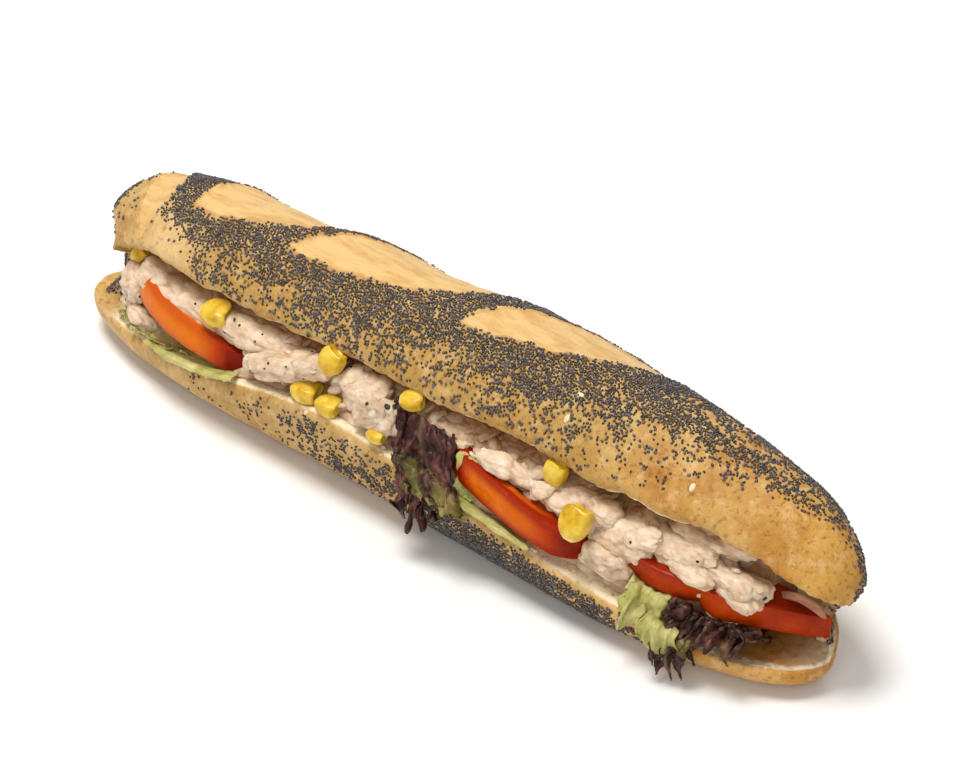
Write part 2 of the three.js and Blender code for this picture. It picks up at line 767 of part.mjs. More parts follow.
const crustFinish = finish(0xd3a052, 0.75);
const tunaFinish = finish(0xdcc4a9, 0.7);
const tomatoFinish = finish(0xc2451a, 0.3);
const cornFinish = finish(0xefc02c, 0.4);
const lettuceFinish = finish(0x9aa860, 0.5);
const purpleFinish = finish(0x5d3b44, 0.5);
const onionFinish = finish(0xdcb9a6, 0.35);

const sandwich = new THREE.Group();

function addNode(name, solid, material) {
  const node = new THREE.Mesh(toGeometry(solid), material);
  node.name = name;
  sandwich.add(node);
}

const space = makeMouthSpace(clearance)
  .subtract(makeTipWall(-1, clearance))
  .subtract(makeTipWall(1, clearance));
const taken = []; // what is placed so far, each a clearance bigger all round

const leafSolids = leaves.map((leaf) => makeLeaf(leaf, 0));
leaves.forEach((leaf) => taken.push(makeLeaf(leaf, clearance)));

const cutClear = (solid) =>
  biggest(taken.reduce((rest, other) => rest.subtract(other), solid.intersect(space)));

const kernelSolids = kernels.map((kernel) => {
  const solid = cutClear(makeKernel(kernel, 0));
  taken.push(makeKernel(kernel, clearance));
  return solid;
});
const onionSolid = cutClear(makeOnion(0));
taken.push(makeOnion(clearance));
const tomatoSolids = tomatoes.map((slice) => {
  const solid = cutClear(makeTomato(slice, 0));
  taken.push(makeTomato(slice, clearance));
  return solid;
});

const random = randomFrom(5);
const breadHalves = [makeLid(), makeHeel(), makeTipWall(-1, 0), makeTipWall(1, 0)];
const lidSeeds = scatterSeeds(
  (x, angle) => swingUp(lidCrust(x, angle)),
  lidSeeding,
  seed.lidRows,
  random,
);
const heelSeeds = scatterSeeds(heelCrust, heelSeeding, seed.heelRows, random);
addNode("bread", biggest(joined([...breadHalves, ...lidSeeds, ...heelSeeds])), crustFinish);
addNode("tuna", makeTuna(space, taken), tunaFinish);
tomatoSolids.forEach((solid, i) => addNode(`tomato_slice_${i + 1}`, solid, tomatoFinish));
kernelSolids.forEach((solid, i) => addNode(`sweetcorn_${i + 1}`, solid, cornFinish));
leaves.forEach((leaf, i) => {
  const isPurple = leaf.name === "lettuce_leaf_middle" || leaf.name === "lettuce_leaf_right";
  addNode(leaf.name, leafSolids[i], isPurple ? purpleFinish : lettuceFinish);
});
addNode("onion_strip", onionSolid, onionFinish);

export default sandwich;
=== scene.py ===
import itertools
import math
import random

import bmesh
import bpy
import numpy as np
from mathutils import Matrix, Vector
from mathutils.bvhtree import BVHTree


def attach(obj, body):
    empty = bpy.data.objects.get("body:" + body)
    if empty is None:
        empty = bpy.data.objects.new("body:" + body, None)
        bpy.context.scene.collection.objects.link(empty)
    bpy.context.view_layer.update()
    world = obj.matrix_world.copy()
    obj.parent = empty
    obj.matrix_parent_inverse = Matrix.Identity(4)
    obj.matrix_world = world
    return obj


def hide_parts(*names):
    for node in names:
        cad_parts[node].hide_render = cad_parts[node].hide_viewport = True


# A tuna sandwich in a poppy-seed baguette. Shapes are worked out in millimetres and stored in metres.
# The loaf lies along X and opens towards -Y, with its hinge along +Y and its flat base on Z = 0.

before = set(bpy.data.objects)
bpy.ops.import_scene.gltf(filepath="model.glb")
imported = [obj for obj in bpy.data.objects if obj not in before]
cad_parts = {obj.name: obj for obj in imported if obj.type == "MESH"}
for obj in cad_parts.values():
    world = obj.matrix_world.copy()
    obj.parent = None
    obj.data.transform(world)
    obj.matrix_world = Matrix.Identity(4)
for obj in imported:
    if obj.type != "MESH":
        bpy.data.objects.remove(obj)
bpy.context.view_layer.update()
metresPerMm = 0.001


# ---- colours, numbers and noise

def rgb(red, green, blue):
    # a colour as seen on a screen, 0 to 255, turned linear for the shader
    return [((c / 255 + 0.055) / 1.055) ** 2.4 if c > 10 else c / 255 / 12.92 for c in (red, green, blue)]


def smooth(low, high, value):
    t = np.clip((value - low) / (high - low), 0, 1)
    return t * t * (3 - 2 * t)


def bell(distance, reach):
    return np.exp(-((distance / reach) ** 2))


def signedPower(value, power):
    return np.sign(value) * np.abs(value) ** power


def mix(a, b, t):
    return a + (b - a) * t


def xyz(x, y, z):
    # points from their three measures, each an array or one number for all
    return np.stack(np.broadcast_arrays(x, y, z), axis=-1)


def throughLine(x, line):
    # the height of a line of (x, height) pairs above x
    return np.interp(x, [p[0] for p in line], [p[1] for p in line])


def hashed(cell, seed):
    # a number from 0 to 1 for each whole place
    h = cell[..., 0] * 374761393 + cell[..., 1] * 668265263 + cell[..., 2] * 1440662683 + seed * 974634777
    h = (h ^ (h >> 13)) & 0xFFFFFFFF
    h = (h * 1274126177) & 0xFFFFFFFF
    h = (h ^ (h >> 16)) & 0xFFFFFFFF
    h = (h * 668265263) & 0xFFFFFFFF
    return ((h ^ (h >> 15)) & 0xFFFF) / 65535.0


def valueNoise(points, seed):
    # -1 to 1, one bump to a unit
    cell = np.floor(points).astype(np.int64)
    part = points - cell
    part = part * part * (3 - 2 * part)
    total = np.zeros(points.shape[:-1])
    for corner in itertools.product((0, 1), repeat=3):
        weight = np.prod(np.where(corner, part, 1 - part), axis=-1)
        total += weight * hashed(cell + np.array(corner), seed)
    return total * 2 - 1


def layeredNoise(points, size, seed, layers=3):
    total, strength = 0, 1.0
    for layer in range(layers):
        total = total + strength * valueNoise(points / size * 1.93 ** layer + 7.3 * layer, seed + layer)
        strength *= 0.5
    return total / 1.6


def wandering(points, amount, seed):
    # the points, each moved a little its own way
    shifts = [layeredNoise(points + 30 * k, 2.6, seed, 2) for k in range(3)]
    return points + amount * np.stack(shifts, axis=-1)


def cellNoise(points, seed):
    # distance to the nearest of one random point to each unit cell
    cell = np.floor(points).astype(np.int64)
    nearest = np.full(points.shape[:-1], 9.0)
    for step in itertools.product((-1, 0, 1), repeat=3):
        home = cell + np.array(step)
        spot = np.stack([hashed(home, seed + k) for k in range(3)], axis=-1)
        nearest = np.minimum(nearest, np.linalg.norm(home + spot - points, axis=-1))
    return nearest


def flakyNoise(points, seed, crisp):
    # plates of random height with steps between them, one plate to a unit, and the cracks between plates
    cell = np.floor(points).astype(np.int64)
    heights, weights = np.zeros(points.shape[:-1]), np.zeros(points.shape[:-1])
    nearest, second = np.full(points.shape[:-1], 9.0), np.full(points.shape[:-1], 9.0)
    for step in itertools.product((-1, 0, 1), repeat=3):
        home = cell + np.array(step)
        spot = np.stack([hashed(home, seed + k) for k in range(3)], axis=-1)
        away = np.linalg.norm(home + spot - points, axis=-1)
        weight = np.exp(-crisp * away)
        heights += weight * hashed(home, seed + 5)
        weights += weight
        second = np.minimum(second, np.maximum(nearest, away))
        nearest = np.minimum(nearest, away)
    return heights / weights * 2 - 1, bell(second - nearest, 0.14)


# ---- meshes

def linked(name, data):
    made = bpy.data.objects.new(name, data)
    bpy.context.scene.collection.objects.link(made)
    return made


def meshPiece(name, points, faces, values=None):
    # points in mm; values are one number a point, kept as attributes for the materials
    mesh = bpy.data.meshes.new(name)
    mesh.from_pydata((points * metresPerMm).tolist(), [], [list(map(int, f)) for f in faces])
    for key, numbers in (values or {}).items():
        layer = mesh.attributes.new(key, "FLOAT", "POINT")
        layer.data.foreach_set("value", np.asarray(numbers, np.float32).ravel())
    mesh.shade_smooth()
    return linked(name, mesh)


def closeSeams(piece, gap=0.00002):
    # merges what meets, and turns every face outwards
    work = bmesh.new()
    work.from_mesh(piece.data)
    bmesh.ops.remove_doubles(work, verts=work.verts, dist=gap)
    bmesh.ops.dissolve_degenerate(work, edges=work.edges, dist=gap / 4)
    bmesh.ops.recalc_face_normals(work, faces=work.faces)
    work.to_mesh(piece.data)
    work.free()
    piece.data.shade_smooth()


def twoFaces(centre, offset):
    # the points of both faces of a slab
    return np.concatenate([(centre + offset).reshape(-1, 3), (centre - offset).reshape(-1, 3)])


def gridNormals(grid, wrapped=True):
    # outward or inward normals of a grid of points [ring, around, xyz]
    ahead = np.gradient(grid, axis=0)
    if wrapped:
        sideways = (np.roll(grid, -1, axis=1) - np.roll(grid, 1, axis=1)) / 2
    else:
        sideways = np.gradient(grid, axis=1)
    normal = np.cross(ahead, sideways)
    return normal / np.maximum(np.linalg.norm(normal, axis=-1, keepdims=True), 1e-9)


def loftFaces(rings, around):
    # quads between closed rings, and a fan to the pole at either end
    index = np.arange(rings * around).reshape(rings, around)
    nextOne = np.roll(index, -1, axis=1)
    quads = np.stack([index[:-1], nextOne[:-1], nextOne[1:], index[1:]], axis=-1).reshape(-1, 4)
    first, last = rings * around, rings * around + 1
    fans = [[first, b, a] for a, b in zip(index[0], nextOne[0])]
    fans += [[last, a, b] for a, b in zip(index[-1], nextOne[-1])]
    return quads.tolist() + fans


def withPoles(*parts):
    # one value a point for a loft: the parts side by side round each ring, and 0 at the two poles
    return [*np.concatenate(parts, axis=1).ravel(), 0, 0]


def slabFaces(rows, columns):
    # two like grids of points, one after the other, closed along their edges
    front = np.arange(rows * columns).reshape(rows, columns)
    back = front + rows * columns
    quads = []
    for grid, turned in ((front, False), (back, True)):
        q = np.stack([grid[:-1, :-1], grid[1:, :-1], grid[1:, 1:], grid[:-1, 1:]], axis=-1).reshape(-1, 4)
        quads += (q[:, ::-1] if turned else q).tolist()
    for a, b in ((front[0], back[0]), (front[-1][::-1], back[-1][::-1])):
        quads += [[a[i], a[i + 1], b[i + 1], b[i]] for i in range(len(a) - 1)]
    for a, b in ((front[::-1, 0], back[::-1, 0]), (front[:, -1], back[:, -1])):
        quads += [[a[i], a[i + 1], b[i + 1], b[i]] for i in range(len(a) - 1)]
    return quads


def onBody(piece, replaced, material):
    # a finished piece: material, the CAD node that it stands for, and the body that it moves with
    piece.data.materials.clear()
    piece.data.materials.append(material)
    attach(piece, "root")
    if replaced:
        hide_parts(*replaced)
    return piece


# ---- material nodes

def newMaterial(name, **surface):
    material = bpy.data.materials.new(name)
    material.use_nodes = True
    shader = material.node_tree.nodes["Principled BSDF"]
    for socket, value in surface.items():
        shader.inputs[socket.replace("_", " ")].default_value = value
    return material


def nodeIn(tree, kind, inputs=None, **settings):
    # a new node; what is given for an input is either linked to it or set on it
    made = tree.nodes.new(kind)
    for key, value in settings.items():
        setattr(made, key, value)
    for socket, value in (inputs or {}).items():
        if isinstance(value, bpy.types.NodeSocket):
            tree.links.new(value, made.inputs[socket])
        else:
            made.inputs[socket].default_value = value
    return made


def addNode(material, kind, inputs=None, **settings):
    return nodeIn(material.node_tree, kind, inputs, **settings)


def place(material):
    return addNode(material, "ShaderNodeTexCoord").outputs["Object"]


def stretched(material, scale, turn=(0, 0, 0)):
    inputs = {"Vector": place(material), "Scale": scale, "Rotation": turn}
    return addNode(material, "ShaderNodeMapping", inputs).outputs["Vector"]


def noiseOf(material, perMetre, detail=4, roughness=0.55, vector=None):
    vector = vector or place(material)
    inputs = {"Vector": vector, "Scale": perMetre, "Detail": detail, "Roughness": roughness}
    return addNode(material, "ShaderNodeTexNoise", inputs).outputs["Fac"]


def cellsOf(material, perMetre):
    inputs = {"Vector": place(material), "Scale": perMetre}
    return addNode(material, "ShaderNodeTexVoronoi", inputs).outputs["Distance"]


def valueOf(material, name):
    return addNode(material, "ShaderNodeAttribute", attribute_name=name).outputs["Fac"]


def ramp(material, value, stops):
    made = addNode(material, "ShaderNodeValToRGB", {"Fac": value})
    elements = made.color_ramp.elements
    while len(elements) < len(stops):
        elements.new(0.5)
    for element, (position, colour) in zip(elements, stops):
        element.position = position
        shade = colour if hasattr(colour, "__len__") else [colour] * 3
        element.color = [*shade, 1]
    return made.outputs["Color"]


def shades(*stops):
    # a ramp's stops, each given as its place and a colour from 0 to 255
    return [(position, rgb(*colour)) for position, *colour in stops]


def blendColours(material, factor, a, b, way="MIX"):
    # sockets 6 and 7 are the mix node's two colours
    a, b = (value if isinstance(value, bpy.types.NodeSocket) else [*value, 1] for value in (a, b))
    made = addNode(material, "ShaderNodeMix", {0: factor, 6: a, 7: b}, data_type="RGBA", blend_type=way)
    return made.outputs[2]


def reckon(material, operation, a, b):
    return addNode(material, "ShaderNodeMath", {0: a, 1: b}, operation=operation).outputs[0]


def bumps(material, height, distanceMm, strength=1.0, over=None):
    inputs = {"Height": height, "Distance": distanceMm * metresPerMm, "Strength": strength}
    if over is not None:
        inputs["Normal"] = over
    return addNode(material, "ShaderNodeBump", inputs).outputs["Normal"]


def feed(material, **inputs):
    shader = material.node_tree.nodes["Principled BSDF"]
    for socket, source in inputs.items():
        material.node_tree.links.new(source, shader.inputs[socket.replace("_", " ")])


# ---- camera, floor and light

camera = {"target": (0, 0, 0.030), "azimuth": 40.7376, "elevation": 35.6954, "distance": 1.00174,
          "focalPixels": 3593.3, "centrePixels": (439.49, 400.62), "framePixels": (968, 762),
          "sensorWidth": 36}


def makeCamera():
    lens = bpy.data.cameras.new("camera")
    eye = linked("camera", lens)
    a, e = math.radians(camera["azimuth"]), math.radians(camera["elevation"])
    back = Vector((math.sin(a) * math.cos(e), -math.cos(a) * math.cos(e), math.sin(e)))
    eye.location = Vector(camera["target"]) + back * camera["distance"]
    eye.rotation_euler = (-back).to_track_quat("-Z", "Y").to_euler()
    wide, high = camera["framePixels"]
    lens.sensor_width = camera["sensorWidth"]
    lens.lens = camera["sensorWidth"] * camera["focalPixels"] / wide
    lens.shift_x = (wide / 2 - camera["centrePixels"][0]) / wide
    lens.shift_y = (camera["centrePixels"][1] - high / 2) / wide
    lens.clip_start, lens.clip_end = 0.01, 20
    bpy.context.scene.camera = eye


studio = {"floorReach": 4000, "floor": rgb(244, 243, 241), "floorMottle": rgb(242, 241, 239),
          "sky": rgb(246, 246, 248), "skyStrength": 0.44}
lamps = [
    {"name": "key", "at": (-0.2, -0.12, 1.2), "size": 0.55, "watts": 12.5, "colour": (1.0, 0.98, 0.95)},
    {"name": "fill", "at": (0.45, -1.0, 0.6), "size": 0.9, "watts": 3.6, "colour": (1.0, 0.985, 0.96)},
    {"name": "rim", "at": (-0.3, 0.9, 0.7), "size": 0.6, "watts": 2.0, "colour": (0.96, 0.98, 1.0)},
]


def makeStudio():
    corners = np.array([[-1, -1, 0], [1, -1, 0], [1, 1, 0], [-1, 1, 0]], float) * studio["floorReach"]
    floor = meshPiece("floor", corners, [[0, 1, 2, 3]])
    paper = newMaterial("paleFloor", Roughness=0.85)
    feed(paper, Base_Color=blendColours(paper, noiseOf(paper, 3, 2), studio["floor"], studio["floorMottle"]))
    floor.data.materials.append(paper)
    world = bpy.data.worlds.new("studio")
    world.use_nodes = True
    background = world.node_tree.nodes["Background"].inputs
    background["Color"].default_value = [*studio["sky"], 1]
    background["Strength"].default_value = studio["skyStrength"]
    bpy.context.scene.world = world
    for lamp in lamps:
        light = bpy.data.lights.new(lamp["name"], "AREA")
        light.shape, light.size = "DISK", lamp["size"]
        light.energy, light.color = lamp["watts"], lamp["colour"]
        stand = linked(lamp["name"], light)
        stand.location = lamp["at"]
        stand.rotation_euler = (Vector((0, 0, 0.02)) - Vector(lamp["at"])).to_track_quat("-Z", "Y").to_euler()


makeCamera()
makeStudio()
print("camera and studio ready")


# ---- the loaf's form, as in the solid model

loaf = {"halfLength": 135, "halfWidth": 24.9, "widthSwell": 0.051, "widthSwellAt": 60, "widthSwellReach": 60}
lid = {"height": 30.5, "crown": 0.111, "crownAt": 14, "crownReach": 45, "widthTaper": (4.6, 3.7),
       "heightTaper": (8, 4.14), "roundness": 0.85, "opening": 37, "slip": 4.2}
hinge = {"y": 18.66, "z": 17.4}
tipWall = {"thickness": 4.5, "back": 62, "frontLeft": -12, "frontRight": 9, "tuckLeft": 6, "tuckRight": 4}
heel = {"widthShare": 0.98, "widthTaper": (2.65, 5.2), "rimHeights": (11, 16.5, 27.5, 21.6, 14.3, 8),
        "belly": 3, "sideRoundness": 0.9, "bellyRoundness": 0.8, "scoop": 1.6}
scores = [
    {"x": -115, "past": -19, "halfLength": 26, "halfWidth": 5, "slant": 97},
    {"x": -78, "past": -5, "halfLength": 42, "halfWidth": 17, "slant": 30},
    {"x": -20, "past": -4, "halfLength": 46, "halfWidth": 16, "slant": 28},
    {"x": 34, "past": -8, "halfLength": 36, "halfWidth": 10.5, "slant": 29.5},
]
scoreForm = {"dip": 1.3, "lip": 0.45, "arcPerDegree": 0.51, "ragged": 0.12, "fibres": 0.28}


def taper(x, powers):
    power = np.where(x < 0, powers[0], powers[1])
    return np.sqrt(np.maximum(0, 1 - np.abs(x / loaf["halfLength"]) ** power))


def swell(x):
    return 1 + loaf["widthSwell"] * bell(x - loaf["widthSwellAt"], loaf["widthSwellReach"])


def lidHalfWidth(x):
    return loaf["halfWidth"] * swell(x) * taper(x, lid["widthTaper"])


def heelHalfWidth(x):
    return heel["widthShare"] * loaf["halfWidth"] * swell(x) * taper(x, heel["widthTaper"])


def lidHeight(x):
    crown = 1 + lid["crown"] * bell(x - lid["crownAt"], lid["crownReach"])
    return lid["height"] * crown * taper(x, lid["heightTaper"])


def rimHeight(x):
    heights = np.array(heel["rimHeights"], float)
    last = len(heights) - 1
    padded = np.concatenate([[2 * heights[0] - heights[1]], heights, [2 * heights[-1] - heights[-2]]])
    along = np.clip((np.asarray(x, float) / loaf["halfLength"] + 1) / 2 * last, 0, last)
    i = np.minimum(np.floor(along).astype(int), last - 1)
    t = along - i
    before, low, high, after = (padded[i + k] for k in range(4))
    return (
        (2 * t**3 - 3 * t**2 + 1) * low
        + (t**3 - 2 * t**2 + t) * (high - before) / 2
        + (3 * t**2 - 2 * t**3) * high
        + (t**3 - t**2) * (after - low) / 2
    )


def scorePlace(score, x, angle):
    # along and across one score, in shares of its half length and half width
    dx = x - score["x"]
    across = (angle - 90) * scoreForm["arcPerDegree"] - score["past"]
    c, s = math.cos(math.radians(score["slant"])), math.sin(math.radians(score["slant"]))
    return (dx * c + across * s) / score["halfLength"], (across * c - dx * s) / score["halfWidth"]


def lidCrust(x, angle, relief):
    # a point of the shut lid's crust; angle 0 is the front edge and 180 the back
    a = np.radians(angle)
    y = -lidHalfWidth(x) * signedPower(np.cos(a), lid["roundness"])
    z = lidHeight(x) * np.maximum(0, np.sin(a)) ** lid["roundness"]
    size = np.hypot(y, z)
    grown = 1 + relief * np.minimum(1, size / 15) / np.maximum(size, 1e-6)
    return xyz(x, y * grown, hinge["z"] + z * grown)


def swingUp(points):
    c, s = math.cos(math.radians(lid["opening"])), math.sin(math.radians(lid["opening"]))
    dy, dz = points[..., 1] - hinge["y"], points[..., 2] - hinge["z"]
    return xyz(points[..., 0] + lid["slip"], hinge["y"] + dy * c + dz * s, hinge["z"] - dy * s + dz * c)


def cutHeight(x, y):
    front = heelHalfWidth(x)
    share = np.clip((y + front) / (hinge["y"] + front), 0, 1)
    return mix(rimHeight(x), hinge["z"], share) - heel["scoop"] * np.sin(math.pi * share) * taper(x, (8, 8))


def heelCrust(x, angle):
    # angle 0 is the front rim, 90 the base and 180 the back rim
    a = np.radians(angle)
    width = heelHalfWidth(x)
    y = -width * signedPower(np.cos(a), heel["sideRoundness"])
    rim = mix(rimHeight(x), cutHeight(x, width), (1 - np.cos(a)) / 2)
    depth = (rim + heel["belly"]) * np.sqrt(taper(x, heel["widthTaper"]))
    drop = np.minimum(rim, depth * np.maximum(0, np.sin(a)) ** heel["bellyRoundness"])
    return xyz(x, y, rim - drop)


def lidUnderside(y):
    return hinge["z"] + (hinge["y"] - y) * math.tan(math.radians(lid["opening"]))


def offTheTips(x):
    # places along the loaf, kept where its outline is still open
    return np.clip(x, 1 - loaf["halfLength"], loaf["halfLength"] - 1)


def rimPoint(x):
    return xyz(x, -heelHalfWidth(x), rimHeight(x))


def lidEdge(x):
    shutX = np.asarray(x, float) - lid["slip"]
    return swingUp(xyz(shutX, -lidHalfWidth(shutX), hinge["z"]))


def mouthPoint(x, share, out):
    # a place in the mouth: share 0 is the heel's rim and 1 the lid's edge, and out is how far in front
    x = np.asarray(x, float)
    rim = rimPoint(x)
    across = lidEdge(x) - rim
    outward = xyz(0, -across[..., 2], across[..., 1])
    outward /= np.linalg.norm(outward, axis=-1, keepdims=True)
    return rim + across * np.asarray(share)[..., None] + outward * np.asarray(out)[..., None]


def placeInMouth(points):
    # the share of the mouth's height and the way out, as mouthPoint takes them
    x = offTheTips(points[..., 0])
    rim = rimPoint(x)
    across = lidEdge(x) - rim
    size = np.maximum(np.linalg.norm(across, axis=-1), 1)
    outward = xyz(0, -across[..., 2], across[..., 1]) / size[..., None]
    return np.sum((points - rim) * across, axis=-1) / size**2, np.sum((points - rim) * outward, axis=-1)


# ---- bread

bread = {"spacing": 0.78, "swells": 0.38, "blisters": 0.2, "grain": 0.07, "pores": 1.5, "crustDepth": 2.2,
         "undercut": (4.6, 1.2), "tipDrop": 2.6, "tipBulge": 2.6, "lidRows": 124, "lidCutRows": 58,
         "heelRows": 100, "heelCutRows": 64}
softening = {"allRound": 2, "atCorners": 16, "reach": 7}
# degrees up from the lid's front edge, along the loaf: where there are a few seeds, some, and a thick coat
seedLines = {
    "few": [(-112, 26), (-98, 12), (-84, 0), (-10, -1), (60, 1), (80, 8), (93, 28), (110, 39), (126, 64)],
    "some": [(-112, 32), (-98, 20), (-84, 5), (-70, 0), (-50, 9), (-42, 2), (-10, 3), (4, 16), (24, 8),
             (46, 6), (58, 18), (70, 30), (80, 40), (102, 43), (118, 50), (128, 76)],
    "thick": [(-112, 36), (-98, 25), (-88, 23), (-70, 32), (-58, 23), (-30, 22), (-10, 28), (-2, 34),
              (8, 26), (34, 19), (46, 37), (58, 29), (70, 45), (94, 56), (118, 58), (130, 90)],
}


def ringPlaces(halfWidth, spacing):
    # places along the loaf, evenly spaced on its outline seen from above
    x = loaf["halfLength"] * np.sin(np.linspace(-math.pi / 2, math.pi / 2, 4001))
    way = np.concatenate([[0], np.cumsum(np.hypot(np.diff(x), np.diff(halfWidth(x))))])
    return np.interp(np.linspace(0, way[-1], int(way[-1] / spacing)), way, x)[1:-1]


def clumped(amount, points):
    # gathers an even sprinkling into clumps with gaps between them
    clumps = layeredNoise(points, 2.6, 27, 2)
    between = 4 * amount * (1 - amount)
    return np.clip(amount + 0.9 * clumps * between, 0, 1)


def lidSeeding(x, angle, rawReach, points):
    few, some, thick = (throughLine(x, seedLines[key]) for key in ("few", "some", "thick"))
    some = np.maximum(some, few + 3)
    thick = np.maximum(thick, some + 3)
    patches = layeredNoise(points, 4.5, 21, 2)
    amount = 0.12 * (angle > few) + 0.36 * smooth(few, some, angle) + 0.52 * smooth(some, thick + 3, angle)
    amount = amount * np.clip(1 + 1.6 * patches * (1.05 - amount), 0.05, 2)
    amount = np.maximum(amount, 1.2 * bell(rawReach - 1.2, 0.13) * (angle > 24) * (x > -109))
    amount = np.maximum(amount, 0.95 * bell(x + 95, 7) * bell(angle - 29, 9))
    amount = np.maximum(amount, 0.85 * bell(x + 54, 8) * bell(angle - 70, 14))
    amount *= 1 - 0.3 * smooth(40, 70, x) * smooth(52, 40, angle)
    amount *= 1 - 0.55 * smooth(62, 80, x) * smooth(52, 72, angle)
    amount *= 1 - 0.7 * smooth(125, 165, angle)
    tip = bell(x + 129, 5) * bell(angle - 56, 24)
    amount = np.where(x < -117, np.maximum(1.1 * tip, 0.06 * (angle > 12)), amount)
    # the pale groove round the left end is bare
    bare = bell(x + 115.5 + 0.08 * (angle - 40), 4.2) * smooth(4, 20, angle)
    amount = clumped(np.clip(amount * (1 - bare), 0, 1), points)
    strays = 0.05 * patches + 0.09 * layeredNoise(points, 1.6, 29, 2)
    return amount * smooth(1.03, 1.12, rawReach + strays)


def smoothRings(grid, corners):
    # softens a ring all round, then more at its corners
    index = np.arange(grid.shape[1])
    near = np.zeros(grid.shape[1])
    for corner in corners:
        away = np.abs(index - corner)
        near = np.maximum(near, bell(np.minimum(away, grid.shape[1] - away), softening["reach"]))
    for number in range(softening["allRound"] + softening["atCorners"]):
        softer = 0.25 * np.roll(grid, 1, axis=1) + 0.5 * grid + 0.25 * np.roll(grid, -1, axis=1)
        grid = softer if number < softening["allRound"] else mix(grid, softer, near[None, :, None])
    return grid


def tipPoints(heightAt):
    # the two poles of a half, at the loaf's left and right end
    ends = (-loaf["halfLength"], loaf["halfLength"])
    return np.array([[x, 0, float(heightAt(x))] for x in ends])


def wavyHem(crust, xx, hem, rise, seed):
    # how far the cut edge is off straight: a slow wave along the loaf and a finer one
    wave = rise[0] * layeredNoise(xyz(xx, 0, 0), 12.0, seed) + rise[1] * layeredNoise(crust, 4.0, seed + 1)
    return hem * wave


def fromTheRims(cut, crust):
    # how far each point of the cut face lies in from the nearer rim
    front, back = (np.linalg.norm(cut - rim, axis=-1) for rim in (crust[:, :1], crust[:, -1:]))
    return np.minimum(front, back)


def poresOf(points, size, seed):
    return bread["pores"] * np.maximum(0, 0.5 - cellNoise(points / size, seed))


def bakeOf(points):
    # how brown the crust is baked: most at the tips and along the bare right end
    x = points[..., 0]
    ends = smooth(100, 132, x) * 0.9 + smooth(-116, -132, x) * 0.55
    bareEnd = 0.4 * smooth(52, 84, x)
    return np.clip(ends + bareEnd + 0.3 * layeredNoise(points, 14.0, 91), 0, 1)


def roundedTips(points):
    # draws in the lower corner of the lid's tips, so that they end round
    x, up = points[..., 0], points[..., 2] - hinge["z"]
    left = bread["undercut"][0] * smooth(-119, -135, x) * smooth(8, 0, up) ** 1.5
    right = bread["undercut"][1] * smooth(123, 135, x) * smooth(7, 0, up) ** 1.5
    blunt = bread["tipBulge"] * smooth(-108, -131, x) * smooth(2, 9, up)
    hangs = np.maximum(smooth(-110, -131, x), 1.1 * smooth(112, 133, x))
    hangs = hangs * smooth(7, 0, up) * smooth(6, -4, points[..., 1])
    return points + xyz(left - right - blunt, 0, -bread["tipDrop"] * hangs)


